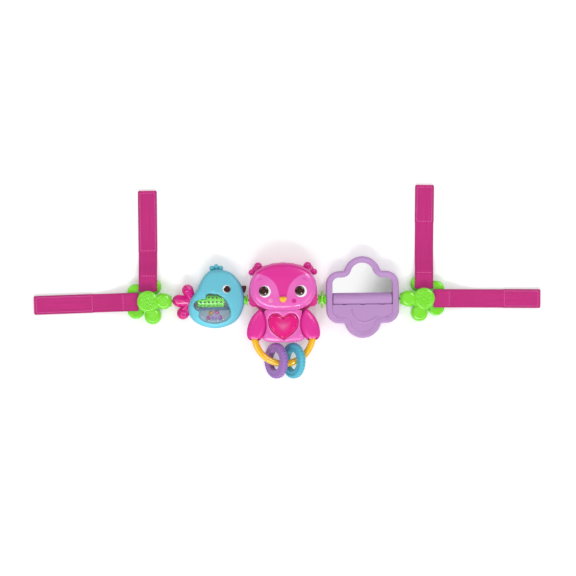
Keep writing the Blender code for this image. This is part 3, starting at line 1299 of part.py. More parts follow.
def make_clip(word):
    side, clip_x = CLIP_SIDES[word]
    disc, edge = CLIP_DISC_RADIUS, CLIP_REAR_ROUNDING
    back = puff(f"{word}_clip_back", disc, 0.0, CLIP_REAR_DEPTH, edge, clip_x, 0.0, 18)
    front = puff(f"{word}_clip_front", disc, CLIP_REAR_DEPTH, CLIP_DEPTH, edge, clip_x, 0.0, 18)
    for index in range(CLIP_PETALS):
        x, y = petal_place(side, clip_x, index)
        rear_petal = puff(
            f"{word}_rear_petal_{index}",
            CLIP_PETAL_RADIUS,
            PETAL_RAISE,
            CLIP_REAR_DEPTH - PETAL_RAISE,
            CLIP_REAR_ROUNDING,
            x,
            y,
        )
        join(back, as_tool(rear_petal))
        if index in FRONT_PETALS:
            petal = puff(
                f"{word}_front_petal_{index}",
                CLIP_PETAL_RADIUS,
                CLIP_REAR_DEPTH - CLIP_FRONT_ROUNDING,
                CLIP_DEPTH - PETAL_DROP,
                CLIP_FRONT_ROUNDING,
                x,
                y,
            )
            join(front, as_tool(petal))
    tip = clip_x - side * (CLIP_PETAL_REACH + CLIP_PETAL_RADIUS)
    third = COLLAR_LENGTH / 5
    collar = turned(
        f"{word}_collar",
        [
            (0.0, COLLAR_LENGTH),
            (COLLAR_RADIUS, COLLAR_LENGTH),
            (COLLAR_RADIUS, COLLAR_LENGTH - 2 * third),
            (COLLAR_RADIUS - COLLAR_GROOVE, COLLAR_LENGTH - 2 * third),
            (COLLAR_RADIUS - COLLAR_GROOVE, 2 * third),
            (COLLAR_RADIUS, 2 * third),
            (COLLAR_RADIUS, 0.0),
            (0.0, 0.0),
        ],
        (min(tip, tip + side * COLLAR_LENGTH) - side * COLLAR_RISE, 0.0, AXIS_HEIGHT),
        "X",
        17,
        closed=False,
    )
    join(front, as_tool(collar))
    cut(front, below(f"{word}_clip_front_half", CLIP_REAR_DEPTH + SEAM))
    room = ball(f"{word}_knot_room", KNOT_ROOM, (clip_x, 0.0, AXIS_HEIGHT), 10, 6)
    bore = cord_bore(f"{word}_clip_bore", clip_x, tip - side * OVERRUN)
    cut(front, as_tool(room), bore)
    cut(back, room)
    reach = CLIP_BAR_REACH - CLIP_BAR_RADIUS - SEAM - LOOP_WALL - SLOT_CLEARANCE
    half = STRAP_THICKNESS / 2
    lift = (CLIP_DISC_RADIUS - CLIP_BAR_REACH) * math.tan(math.radians(STRAP_LIFT))
    loop_top = CLIP_BAR_RADIUS + SEAM + LOOP_WALL
    slot_top = BAR_HEIGHT + max(loop_top, lift + half / math.cos(math.radians(STRAP_LIFT))) + SLOT_CLEARANCE
    for strap in (f"{word}_upper", f"{word}_outer"):
        join(back, *bar_and_posts(strap, side, clip_x))
        slot_half = BAR_HALF_LENGTH + SLOT_CLEARANCE
        outer = CLIP_DISC_RADIUS + OVERRUN
        slot = box(f"{strap}_slot", (reach, 0.0, -slot_half), (outer, slot_top, slot_half))
        slot.matrix_world = strap_matrix(strap, side, clip_x) @ slot.matrix_basis
        cut(front, as_tool(slot))
        make_strap(strap, side, clip_x)
    screw_x, screw_y = petal_place(side, clip_x, CLIP_PETALS - 1)
    screw_seat(f"{word}_clip_screw", back, front, screw_x, screw_y, None, CLIP_SCREW_REACH)
    paint(back, LEAF_GREEN, 0.25)
    paint(front, LEAF_GREEN, 0.25)


def make_cords():
    """The two cords, each with a knot in the owl's lug and a knot in its clip."""
    inside_owl = OWL_LUG_REACH - OWL_WALL - SEAM - KNOT_RADIUS
    blend = math.degrees(math.asin(CORD_RADIUS / KNOT_RADIUS))
    for word, (side, clip_x) in CLIP_SIDES.items():
        half = (abs(clip_x) - inside_owl) / 2
        high = [(y, half + x) for x, y in arc((0.0, 0.0), KNOT_RADIUS, 0.0, 180.0 - blend, 5)]
        low = [(radius, -height) for radius, height in reversed(high)]
        middle = side * (abs(clip_x) + inside_owl) / 2
        profile = [(0.0, high[0][1])] + high[1:] + low[:-1] + [(0.0, low[-1][1])]
        cord = turned(f"{word}_cord", profile, (middle, 0.0, AXIS_HEIGHT), "X", 10, closed=False)
        paint(cord, LEAF_GREEN, 0.8)


def pivot(name, place, *nodes):
    """An empty on a joint's axis that carries the pieces that move there."""
    empty = bpy.data.objects.new(name, None)
    PARTS.objects.link(empty)
    empty.location = place
    bpy.context.view_layer.update()
    for node in nodes:
        obj = bpy.data.objects[node]
        obj.parent = empty
        obj.matrix_parent_inverse = empty.matrix_world.inverted()
    return empty


def add_pivots():
    """Puts the moving pieces under empties on their axes, and prints each axis place."""
    hinge_y = ring_hinge_y()
    axis = (0.0, 0.0, AXIS_HEIGHT)
    places = {"ring_pivot": ((0.0, hinge_y, RING_HEIGHT), ["yellow_ring"])}
    for name, (x, _) in link_places().items():
        along = math.sqrt(RING_RADIUS**2 - x**2) + RING_CENTRE_Y * -1 + hinge_y
        lean = math.radians(RING_LEAN)
        bar = (x, hinge_y - along * math.cos(lean), RING_HEIGHT - along * math.sin(lean))
        places[name + "_pivot"] = (bar, [name])
    for word, (side, clip_x) in CLIP_SIDES.items():
        lug = (side * (OWL_LUG_REACH - OWL_WALL / 2), 0.0, AXIS_HEIGHT)
        places[f"{word}_cord_pivot"] = (lug, [f"{word}_cord"])
        clip_nodes = [f"{word}_clip_{kind}" for kind in ("back", "front", "screw")]
        places[f"{word}_clip_pivot"] = ((clip_x, 0.0, AXIS_HEIGHT), clip_nodes)
        for strap in (f"{word}_upper", f"{word}_outer"):
            bar = strap_matrix(strap, side, clip_x) @ Vector((CLIP_BAR_REACH, BAR_HEIGHT, 0.0))
            nodes = [strap + "_strap"]
            if strap in STRAP_PATCHED:
                nodes.append(strap + "_hook_patch")
            places[f"{strap}_strap_pivot"] = (tuple(bar), nodes)
    for name, (place, nodes) in places.items():
        pivot(name, place, *nodes)
        print(name, [round(value, 6) for value in place])


def main():
    start_scene()
    make_bird()
    make_spacers()
    rear, forehead, face, body = make_owl_shells()
    for name, front, depth in (
        ("owl_screw_upper", forehead, OWL_HEAD_DEPTH),
        ("owl_screw_lower", body, OWL_BODY_DEPTH),
    ):
        x_share, y_share = OWL_SCREW_SHARES[name]
        screw_seat(name, rear, front, x_share * OWL_WIDTH, y_share * OWL_HEIGHT, depth - OWL_WALL / 2)
    make_owl_face(face, forehead)
    make_heart(body)
    make_electronics(rear)
    make_wings_and_ring()
    make_links()
    make_cloud()
    make_clip("left")
    make_clip("right")
    make_cords()
    add_pivots()


main()
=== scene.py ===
# %% [markdown]
# # A pram toy bar in Blender
# The real toy is a row of chunky moulded animals on a cord, held between two flower clips with webbing
# straps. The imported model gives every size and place. This script keeps that frame, and builds the softer
# forms, the finishes and a plain studio around it.

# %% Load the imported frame
import math
import random

import bmesh
import bpy
import numpy as np
from mathutils import Matrix, Vector


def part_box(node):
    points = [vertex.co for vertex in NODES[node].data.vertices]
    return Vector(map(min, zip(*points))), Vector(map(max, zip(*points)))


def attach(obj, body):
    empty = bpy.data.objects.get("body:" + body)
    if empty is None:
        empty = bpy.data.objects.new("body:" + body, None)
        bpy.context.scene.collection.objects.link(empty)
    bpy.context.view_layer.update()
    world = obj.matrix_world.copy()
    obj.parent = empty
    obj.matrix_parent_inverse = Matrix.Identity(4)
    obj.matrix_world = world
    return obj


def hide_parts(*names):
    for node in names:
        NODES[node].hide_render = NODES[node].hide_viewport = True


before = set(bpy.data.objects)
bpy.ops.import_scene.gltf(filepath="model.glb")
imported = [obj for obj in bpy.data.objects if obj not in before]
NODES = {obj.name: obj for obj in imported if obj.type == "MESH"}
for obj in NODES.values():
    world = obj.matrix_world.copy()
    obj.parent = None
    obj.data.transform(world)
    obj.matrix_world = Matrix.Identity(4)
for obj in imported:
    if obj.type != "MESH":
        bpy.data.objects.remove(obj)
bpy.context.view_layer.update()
MM = 0.001
CORD_HEIGHT = 12.5 * MM

# %% [markdown]
# ## The studio
# The toy lies on a white sweep and is seen from straight above. A long lens from three metres keeps the
# parallax small, as a product photograph does. The cord runs a little uphill in the picture, so the camera
# is rolled by that slope. The floor shows white to the camera but keeps the toy's shadow.

# %% Camera
PICTURE_SIDE = 576
PIXEL = 1.32 * MM
ORIGIN_PIXEL = 283.0
CORD_PIXEL = 299.8
CAMERA_HEIGHT = 3.0
SENSOR = 36.0
CORD_SLOPE = math.radians(0.66)

camera_data = bpy.data.cameras.new("camera")
camera_data.sensor_width = SENSOR
camera_data.lens = SENSOR * (CAMERA_HEIGHT - CORD_HEIGHT) / (PICTURE_SIDE * PIXEL)
camera_data.clip_end = 20.0
camera = bpy.data.objects.new("camera", camera_data)
camera.location = ((PICTURE_SIDE / 2 - ORIGIN_PIXEL) * PIXEL, (CORD_PIXEL - PICTURE_SIDE / 2) * PIXEL, CAMERA_HEIGHT)
camera.rotation_euler = (0.0, 0.0, -CORD_SLOPE)
bpy.context.scene.collection.objects.link(camera)
bpy.context.scene.camera = camera
print("camera lens", round(camera_data.lens, 1), "mm")


# %% Small helpers for materials
def new_material(name):
    """A material with its nodes, its tree and its shader."""
    material = bpy.data.materials.new(name)
    material.use_nodes = True
    tree = material.node_tree
    return material, tree, tree.nodes["Principled BSDF"]


def add_node(tree, kind, **values):
    """A node with some of its settings and input values filled in."""
    node = tree.nodes.new(kind)
    for name, value in values.items():
        if name in node.inputs:
            node.inputs[name].default_value = value
        else:
            setattr(node, name, value)
    return node


def math_node(tree, operation, *inputs):
    """A Math node whose inputs are numbers or sockets, and its output."""
    node = tree.nodes.new("ShaderNodeMath")
    node.operation = operation
    for place, value in enumerate(inputs):
        if isinstance(value, (int, float)):
            node.inputs[place].default_value = value
        else:
            tree.links.new(value, node.inputs[place])
    return node.outputs[0]


# %% Floor and backdrop
FLOOR_SIDE = 8.0
FLOOR_COLOUR = (0.80, 0.80, 0.80, 1.0)
WHITE_TO_CAMERA = (0.93, 0.93, 0.93, 1.0)
WHITE_LIFT = 0.24


def make_floor():
    """A wide white floor, whiter for what the camera sees directly, by reflection or through glass."""
    material, tree, shader = new_material("studio_floor")
    rays = tree.nodes.new("ShaderNodeLightPath")
    seen = math_node(tree, "MAXIMUM", rays.outputs["Is Camera Ray"], rays.outputs["Is Glossy Ray"])
    seen = math_node(tree, "MAXIMUM", seen, rays.outputs["Is Transmission Ray"])
    mix = add_node(tree, "ShaderNodeMix", data_type="RGBA")
    mix.inputs[6].default_value = FLOOR_COLOUR
    mix.inputs[7].default_value = WHITE_TO_CAMERA
    tree.links.new(seen, mix.inputs[0])
    tree.links.new(mix.outputs[2], shader.inputs["Base Color"])
    shader.inputs["Roughness"].default_value = 0.9
    shader.inputs["Specular IOR Level"].default_value = 0.0
    shader.inputs["Emission Color"].default_value = (1.0, 1.0, 1.0, 1.0)
    tree.links.new(math_node(tree, "MULTIPLY", seen, WHITE_LIFT), shader.inputs["Emission Strength"])
    shape = bmesh.new()
    bmesh.ops.create_grid(shape, x_segments=1, y_segments=1, size=FLOOR_SIDE / 2)
    mesh = bpy.data.meshes.new("floor")
    shape.to_mesh(mesh)
    shape.free()
    mesh.materials.append(material)
    floor = bpy.data.objects.new("floor", mesh)
    bpy.context.scene.collection.objects.link(floor)
    return floor


make_floor()

# %% [markdown]
# ## Light
# A white room lights everything evenly. A large soft lamp at the toy's lower side throws the faint shadow
# upwards, a second one fills in from the upper right, and a small one gives crisp highlights. A narrow spot
# lights the bird's deep window. Shiny plastic would look dusty if it mirrored a white room, so reflections
# see a dim room instead, with four soft boxes in it and a white card overhead, which the cloud's flat mirror
# shows: white on the left, fading to grey on the right.

# %% World and lamps
ROOM_STRENGTH = 0.66
MIRRORED_ROOM = 0.20
CARD_EDGE = (0.028, 0.046)
CARD_GREY = 0.33
CARD_REACH = 0.995
BOX_WIDTH = (0.962, 0.985)
BOXES = [((0.44, 0.50, 0.75), 5.0), ((-0.42, -0.50, 0.76), 4.0), ((-0.46, 0.46, 0.76), 2.5), ((0.48, -0.44, 0.76), 2.5)]
LAMP_WIDTH = 0.6
LAMP_PLACE = Vector((-0.25, -1.25, 1.35))
LAMP_POWER = 9.0
FILL_PLACE = Vector((0.9, 0.9, 1.6))
FILL_POWER = 4.0
SPARK_PLACE = Vector((0.30, -1.15, 1.25))
SPARK_WIDTH = 0.14
SPARK_POWER = 3.5
SNOOT_PLACE = Vector((-0.093, -0.019, 0.9))
SNOOT_CONE = math.radians(4.2)
SNOOT_POWER = 11.0


def make_world():
    """An even white room. Reflections see a dimmer room with a white card overhead that ends in a soft grey."""
    world = bpy.data.worlds.new("studio")
    bpy.context.scene.world = world
    world.use_nodes = True
    tree = world.node_tree
    background = tree.nodes["Background"]
    background.inputs["Color"].default_value = (1.0, 1.0, 1.0, 1.0)
    rays = tree.nodes.new("ShaderNodeLightPath")
    place = tree.nodes.new("ShaderNodeTexCoord")
    way = tree.nodes.new("ShaderNodeSeparateXYZ")
    tree.links.new(place.outputs["Generated"], way.inputs[0])
    slant = math_node(tree, "MULTIPLY_ADD", way.outputs["Y"], -0.5, way.outputs["X"])
    card = add_node(tree, "ShaderNodeMapRange", interpolation_type="SMOOTHSTEP")
    for name, value in zip(("From Min", "From Max", "To Min", "To Max"), (*CARD_EDGE, 1.0, CARD_GREY)):
        card.inputs[name].default_value = value
    tree.links.new(slant, card.inputs["Value"])
    overhead = math_node(tree, "GREATER_THAN", way.outputs["Z"], CARD_REACH)
    mirrored_light = math_node(tree, "MULTIPLY", overhead, math_node(tree, "SUBTRACT", card.outputs[0], MIRRORED_ROOM))
    mirrored_light = math_node(tree, "ADD", mirrored_light, MIRRORED_ROOM)
    for direction, strength in BOXES:
        facing = add_node(tree, "ShaderNodeVectorMath", operation="DOT_PRODUCT")
        tree.links.new(place.outputs["Generated"], facing.inputs[0])
        facing.inputs[1].default_value = Vector(direction).normalized()
        box_light = add_node(tree, "ShaderNodeMapRange", interpolation_type="SMOOTHSTEP")
        for name, value in zip(("From Min", "From Max", "To Min", "To Max"), (*BOX_WIDTH, 0.0, strength)):
            box_light.inputs[name].default_value = value
        tree.links.new(facing.outputs["Value"], box_light.inputs["Value"])
        mirrored_light = math_node(tree, "ADD", mirrored_light, box_light.outputs[0])
    plain = math_node(tree, "MAXIMUM", rays.outputs["Is Camera Ray"], rays.outputs["Is Transmission Ray"])
    plain = math_node(tree, "MAXIMUM", plain, ROOM_STRENGTH)
    mix = add_node(tree, "ShaderNodeMix", data_type="FLOAT")
    tree.links.new(rays.outputs["Is Glossy Ray"], mix.inputs[0])
    tree.links.new(plain, mix.inputs[2])
    tree.links.new(mirrored_light, mix.inputs[3])
    tree.links.new(mix.outputs[0], background.inputs["Strength"])


def make_lamp(name, place, side, power):
    """A square soft lamp that points at the toy."""
    data = bpy.data.lights.new(name, "AREA")
    data.shape = "SQUARE"
    data.size = side
    data.energy = power
    lamp = bpy.data.objects.new(name, data)
    lamp.location = place
    lamp.rotation_euler = (-place).to_track_quat("-Z", "Y").to_euler()
    bpy.context.scene.collection.objects.link(lamp)
    return lamp


def make_snoot():
    """A narrow spot straight down into the bird's window, where the soft lamps don't reach."""
    data = bpy.data.lights.new("snoot_lamp", "SPOT")
    data.spot_size = SNOOT_CONE
    data.spot_blend = 0.8
    data.shadow_soft_size = 0.01
    data.energy = SNOOT_POWER
    lamp = bpy.data.objects.new("snoot_lamp", data)
    lamp.location = SNOOT_PLACE
    lamp.visible_glossy = False
    lamp.visible_transmission = False
    bpy.context.scene.collection.objects.link(lamp)


make_world()
make_lamp("key_lamp", LAMP_PLACE, LAMP_WIDTH, LAMP_POWER)
make_lamp("fill_lamp", FILL_PLACE, LAMP_WIDTH, FILL_POWER)
make_lamp("spark_lamp", SPARK_PLACE, SPARK_WIDTH, SPARK_POWER)
make_snoot()
bpy.context.scene.view_settings.view_transform = "Standard"

# %% [markdown]
# ## Colours and the moulded plastic
# Every colour is written as it looks on a screen, from 0 to 255, and turned into Blender's linear values.
# Moulded toys are never quite even: the colour drifts a little where the plastic flowed, the gloss is
# mottled, and a fine skin of ripples breaks up reflections. One node group makes these three effects, and
# each plastic sets its own amounts.


# %% Colours
def screen(red, green, blue, alpha=1.0):
    """A screen colour as linear values."""
    linear = []
    for value in (red, green, blue):
        share = value / 255
        linear.append(share / 12.92 if share <= 0.04045 else ((share + 0.055) / 1.055) ** 2.4)
    return (*linear, alpha)


LEAF_GREEN = screen(130, 234, 44)
SKY_BLUE = screen(104, 196, 216)
TAIL_PINK = screen(226, 18, 140)
FACE_PINK = screen(240, 104, 196)
PEAK_MAGENTA = screen(232, 44, 158)
HEART_RED = screen(238, 14, 134)
HEART_PAINTED_GLOW = screen(230, 92, 158)
BAR_YELLOW = screen(255, 194, 14)
CLOUD_LILAC = screen(190, 146, 202)
LINK_PURPLE = screen(162, 116, 194)
LINK_BLUE = screen(86, 190, 214)
PUPIL_BROWN = screen(56, 20, 12)
BEAK_BROWN = screen(92, 30, 34)
BEAK_YELLOW = screen(252, 196, 28)
EYE_WHITE = screen(246, 246, 246)
CAVITY_BLUE = screen(226, 242, 250)
# painted shade: the shelf's dark slate stands for the shadow under the drum
SHELF_PAINTED_SHADE = screen(70, 100, 134)
WEBBING_PINK = screen(206, 32, 130)
BEAD_COLOURS = {
    "rattle_bead_1": screen(250, 160, 30),
    "rattle_bead_2": screen(246, 84, 190),
    "rattle_bead_3": screen(248, 100, 196),
    "rattle_bead_4": screen(232, 156, 250),
    "rattle_bead_5": screen(246, 120, 220),
}


# %% The moulded skin
def make_moulded_group():
    """Colour drift, mottled gloss and fine ripples on Object coordinates."""
    group = bpy.data.node_groups.new("moulded_skin", "ShaderNodeTree")
    for name, kind, value in (
        ("Colour", "NodeSocketColor", (0.5, 0.5, 0.5, 1.0)),
        ("Drift", "NodeSocketFloat", 0.06),
        ("Roughness", "NodeSocketFloat", 0.35),
        ("Mottle", "NodeSocketFloat", 0.08),
        ("Ripple Scale", "NodeSocketFloat", 700.0),
    ):
        socket = group.interface.new_socket(name, in_out="INPUT", socket_type=kind)
        socket.default_value = value
    for name, kind in (("Colour", "NodeSocketColor"), ("Roughness", "NodeSocketFloat"), ("Height", "NodeSocketFloat")):
        group.interface.new_socket(name, in_out="OUTPUT", socket_type=kind)
    entry = group.nodes.new("NodeGroupInput")
    leave = group.nodes.new("NodeGroupOutput")
    place = group.nodes.new("ShaderNodeTexCoord")
    flow = add_node(group, "ShaderNodeTexNoise", Scale=38.0, Detail=3.0)
    speck = add_node(group, "ShaderNodeTexNoise", Scale=420.0, Detail=4.0)
    ripple = add_node(group, "ShaderNodeTexNoise", Detail=2.0)
    group.links.new(entry.outputs["Ripple Scale"], ripple.inputs["Scale"])
    for noise in (flow, speck, ripple):
        group.links.new(place.outputs["Object"], noise.inputs["Vector"])
    lift = math_node(group, "SUBTRACT", flow.outputs[0], 0.5)
    lift = math_node(group, "MULTIPLY", lift, entry.outputs["Drift"])
    fine = math_node(group, "SUBTRACT", speck.outputs[0], 0.5)
    lift = math_node(group, "MULTIPLY_ADD", math_node(group, "MULTIPLY", fine, entry.outputs["Drift"]), 0.5, lift)
    bright = group.nodes.new("ShaderNodeHueSaturation")
    group.links.new(math_node(group, "ADD", lift, 1.0), bright.inputs["Value"])
    group.links.new(entry.outputs["Colour"], bright.inputs["Color"])
    group.links.new(bright.outputs[0], leave.inputs["Colour"])
    gloss = math_node(group, "MULTIPLY", fine, entry.outputs["Mottle"])
    group.links.new(math_node(group, "ADD", entry.outputs["Roughness"], gloss), leave.inputs["Roughness"])
    group.links.new(ripple.outputs[0], leave.inputs["Height"])
    return group


MOULDED = make_moulded_group()


def link_skin(tree, shader, skin, depth):
    """Joins a skin's outputs to the shader, its height through a Bump node."""
    bump = add_node(tree, "ShaderNodeBump", Strength=1.0, Distance=depth)
    tree.links.new(skin.outputs["Height"], bump.inputs["Height"])
    tree.links.new(bump.outputs[0], shader.inputs["Normal"])
    tree.links.new(skin.outputs["Colour"], shader.inputs["Base Color"])
    tree.links.new(skin.outputs["Roughness"], shader.inputs["Roughness"])


def moulded(name, colour, roughness=0.32, coat=0.0, drift=0.06, ripple=0.000007, mottle=0.06):
    """A moulded plastic of one colour."""
    material, tree, shader = new_material(name)
    skin = tree.nodes.new("ShaderNodeGroup")
    skin.node_tree = MOULDED
    skin.inputs["Colour"].default_value = colour
    skin.inputs["Drift"].default_value = drift
    skin.inputs["Roughness"].default_value = roughness
    skin.inputs["Mottle"].default_value = mottle
    link_skin(tree, shader, skin, ripple)
    shader.inputs["Coat Weight"].default_value = coat
    shader.inputs["Coat Roughness"].default_value = 0.08
    return material


GREEN_PLASTIC = moulded("leaf_green_plastic", LEAF_GREEN, 0.14, 0.6)
BLUE_PLASTIC = moulded("sky_blue_plastic", SKY_BLUE, 0.42, 0.0, 0.06, 0.00001)
TAIL_PLASTIC = moulded("hot_pink_plastic", TAIL_PINK, 0.14, 0.4, 0.05, 0.000002, 0.02)
FACE_PLASTIC = moulded("face_pink_plastic", FACE_PINK, 0.24, 0.5, 0.05, 0.000003, 0.02)
PEAK_PLASTIC = moulded("peak_magenta_plastic", PEAK_MAGENTA, 0.30, 0.15, 0.05, 0.000002, 0.02)
YELLOW_PLASTIC = moulded("bar_yellow_plastic", BAR_YELLOW, 0.14, 0.7)
LILAC_PLASTIC = moulded("cloud_lilac_plastic", CLOUD_LILAC, 0.42, 0.0, 0.06, 0.000012)
PURPLE_RUBBER = moulded("link_purple_rubber", LINK_PURPLE, 0.46, 0.0, 0.08, 0.00002)
BLUE_RUBBER = moulded("link_blue_rubber", LINK_BLUE, 0.44, 0.0, 0.08, 0.00002)
WHITE_ENAMEL = moulded("eye_white_plastic", EYE_WHITE, 0.2, 0.4, 0.02)
BROWN_ENAMEL = moulded("pupil_brown_plastic", PUPIL_BROWN, 0.2, 0.1, 0.25)
BEAK_DARK = moulded("beak_brown_plastic", BEAK_BROWN, 0.3, 0.3)
BEAK_BRIGHT = moulded("beak_yellow_plastic", BEAK_YELLOW, 0.25, 0.4)
CAVITY_PLASTIC = moulded("cavity_blue_plastic", CAVITY_BLUE, 0.4)
SHELF_PAINTED_SHADE_PLASTIC = moulded("shelf_painted_shade_plastic", SHELF_PAINTED_SHADE, 0.4)
# painted shade: a dark green for the core that fills the drum, so the holes show dark
DRUM_CORE_PAINTED_SHADE = moulded("drum_core_painted_shade_plastic", screen(34, 74, 30), 0.5)
print("plastics made:", len(bpy.data.materials))

# %% [markdown]
# ## Shapes from outlines
# Each animal is a plump pillow: an outline that swells towards its middle. The outline is a smooth curve
# through a few points. A ring of vertices is extruded inwards again and again, and each ring's height comes
# from how far it is from the edge, so the form is round at the rim and calm in the middle.


# %% Outline helpers
def smooth_curve(points, steps=6):
    """A closed Catmull-Rom curve through the points."""
    count = len(points)
    found = []
    for index in range(count):
        before, start, end, after = (Vector(points[(index + shift) % count]) for shift in (-1, 0, 1, 2))
        for step in range(steps):
            t = step / steps
            bend = (2 * before - 5 * start + 4 * end - after) * t**2
            twist = (3 * start - before - 3 * end + after) * t**3
            found.append(0.5 * (2 * start + (end - before) * t + bend + twist))
    return found


def mirrored(half):
    """A whole outline from its right half, listed from one end of the mirror line to the other."""
    return half + [(-x, y) for x, y in reversed(half[1:-1])]


def scaled(shares, width, height, middle=(0.0, 0.0)):
    """Points given as shares of a width and a height."""
    return [(middle[0] + x * width, middle[1] + y * height) for x, y in shares]


def loop_by_angle(outline, centre, count):
    """The outline's points in evenly spaced directions from a centre."""
    points = np.array([tuple(point) for point in outline])
    starts = points - np.array(centre)
    steps = np.roll(starts, -1, axis=0) - starts
    found = []
    for index in range(count):
        angle = 2 * math.pi * index / count
        ray = np.array((math.cos(angle), math.sin(angle)))
        across = ray[0] * steps[:, 1] - ray[1] * steps[:, 0]
        across = np.where(abs(across) < 1e-12, 1e-12, across)
        along = (starts[:, 0] * steps[:, 1] - starts[:, 1] * steps[:, 0]) / across
        share = (starts[:, 0] * ray[1] - starts[:, 1] * ray[0]) / across
        hit = along[(share >= -1e-9) & (share <= 1 + 1e-9) & (along > 0)]
        found.append(Vector(centre) + Vector(tuple(ray)) * float(hit.max()))
    return found


def distance_to(outline, place):
    """How far a place is from a closed outline."""
    points = np.array([tuple(point) for point in outline])
    steps = np.roll(points, -1, axis=0) - points
    here = np.array((place[0], place[1])) - points
    share = np.clip((here * steps).sum(1) / np.maximum((steps**2).sum(1), 1e-18), 0, 1)
    return float(np.sqrt(((here - steps * share[:, None]) ** 2).sum(1).min()))


def round_off(distance, reach, drop):
    """How far a rounded rim has fallen at a distance from its edge."""
    share = 1 - min(distance / reach, 1.0)
    return drop * (1 - math.sqrt(max(0.0, 1 - share * share)))


# %% Mesh helpers
def finish_piece(name, shape, material, body, smooth_angle=40.0):
    """Turns a bmesh into a smooth-shaded object that rides on a body."""
    mesh = bpy.data.meshes.new(name)
    shape.to_mesh(mesh)
    shape.free()
    mesh.materials.append(material)
    obj = bpy.data.objects.new(name, mesh)
    bpy.context.scene.collection.objects.link(obj)
    mesh.shade_smooth()
    mesh.set_sharp_from_angle(angle=math.radians(smooth_angle))
    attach(obj, body)
    return obj


def extrude_ring(shape, edges, places):
    """Extrudes a closed ring of edges and moves the new vertices, which keep their order, to new places."""
    ring = order_of(edges)
    made = bmesh.ops.extrude_edge_only(shape, edges=edges)["geom"]
    fresh = {vert for vert in made if isinstance(vert, bmesh.types.BMVert)}
    ends = []
    for vert, place in zip(ring, places):
        end = next(edge.other_vert(vert) for edge in vert.link_edges if edge.other_vert(vert) in fresh)
        ends.append((end, place))
    for end, place in ends:
        end.co = place
    count = len(ends)
    return [shape.edges.get((ends[index][0], ends[(index + 1) % count][0])) for index in range(count)]


def order_of(edges):
    """The first vertex of each edge, for edges listed in order round a ring."""
    return [
        next(vert for vert in edge.verts if vert in edges[index - 1].verts) for index, edge in enumerate(edges)
    ]


def ring_at(loop, height):
    """A flat loop lifted to a height, which is a number or a function of the place."""
    return [Vector((x, y, height(x, y) if callable(height) else height)) for x, y in loop]


def loft(rings, cap_start=True, cap_end=True, closed=False):
    """A skin through rings with the same number of points."""
    shape = bmesh.new()
    verts = [shape.verts.new(place) for place in rings[0]]
    count = len(verts)
    first = [shape.edges.new((verts[index], verts[(index + 1) % count])) for index in range(count)]
    if cap_start and not closed:
        shape.faces.new(verts)
    edges = first
    for ring in rings[1:]:
        edges = extrude_ring(shape, edges, ring)
    if closed:
        bmesh.ops.bridge_loops(shape, edges=first + edges)
    elif cap_end:
        bmesh.ops.contextual_create(shape, geom=edges)
    bmesh.ops.recalc_face_normals(shape, faces=shape.faces)
    return shape


def towards(outer, inner, share):
    """A loop part of the way from one loop to another, or to a centre."""
    if isinstance(inner, Vector):
        return [place.lerp(inner, share) for place in outer]
    return [place.lerp(other, share) for place, other in zip(outer, inner)]


def swell(outline, centre, low, height, hole=None, count=96, rings=26, ease=1.6):
    """A pillow of an outline. With a hole, its skin ends at the hole's outline and the wall goes down to low."""
    outer = loop_by_angle(outline, centre, count)
    inner = loop_by_angle(hole, centre, count) if hole else Vector(centre)
    levels = [ring_at(outer, low)]
    for index in range(rings + (1 if hole else 0)):
        share = (index / rings) ** ease
        levels.append(ring_at(towards(outer, inner, share), height))
    if hole:
        levels.append(ring_at(inner, low))
        return loft(levels, closed=True)
    return loft(levels)


def cut_by(obj, cutter_shape, operation):
    """A Boolean with another shape, applied."""
    mesh = bpy.data.meshes.new("cutter")
    cutter_shape.to_mesh(mesh)
    cutter_shape.free()
    cutter = bpy.data.objects.new("cutter", mesh)
    bpy.context.scene.collection.objects.link(cutter)
    modifier = obj.modifiers.new("cut", "BOOLEAN")
    modifier.operation = operation
    modifier.solver = "EXACT"
    modifier.object = cutter
    graph = bpy.context.evaluated_depsgraph_get()
    result = bpy.data.meshes.new_from_object(obj.evaluated_get(graph))
    obj.modifiers.clear()
    old = obj.data
    obj.data = result
    bpy.data.meshes.remove(old)
    bpy.data.objects.remove(cutter)
    result.shade_smooth()
    result.set_sharp_from_angle(angle=math.radians(40.0))
    return obj


def prism(outline, low, high):
    """An upright slab of an outline."""
    return loft([ring_at(outline, low), ring_at(outline, high)])


def lathe(profile, place, axis, steps=48):
    """A profile of (radius, distance along the axis) points turned once round the axis."""
    shape = bmesh.new()
    verts = [shape.verts.new((radius, 0.0, along)) for radius, along in profile]
    edges = [shape.edges.new(pair) for pair in zip(verts, verts[1:])]
    turn = Vector((0.0, 0.0, 1.0))
    bmesh.ops.spin(
        shape, geom=verts + edges, cent=(0, 0, 0), axis=turn, angle=2 * math.pi, steps=steps, use_merge=True
    )
    bmesh.ops.remove_doubles(shape, verts=shape.verts, dist=1e-6)
    bmesh.ops.recalc_face_normals(shape, faces=shape.faces)
    aim = turn.rotation_difference(Vector(axis)).to_matrix().to_4x4()
    bmesh.ops.transform(shape, matrix=Matrix.Translation(place) @ aim, verts=shape.verts)
    return shape


def ball(radius, place, segments=32, rings=20, flat=1.0):
    """A sphere, flattened in height by a factor."""
    shape = bmesh.new()
    bmesh.ops.create_uvsphere(shape, u_segments=segments, v_segments=rings, radius=radius)
    bmesh.ops.scale(shape, vec=(1.0, 1.0, flat), verts=shape.verts)
    bmesh.ops.translate(shape, vec=place, verts=shape.verts)
    return shape


def cylinder(radius, length, place, axis, sides=40):
    """A cylinder about a place, along an axis."""
    shape = bmesh.new()
    bmesh.ops.create_cone(shape, cap_ends=True, segments=sides, radius1=radius, radius2=radius, depth=length)
    turn = Vector((0, 0, 1)).rotation_difference(Vector(axis)).to_matrix().to_4x4()
    bmesh.ops.transform(shape, matrix=Matrix.Translation(place) @ turn, verts=shape.verts)
    return shape


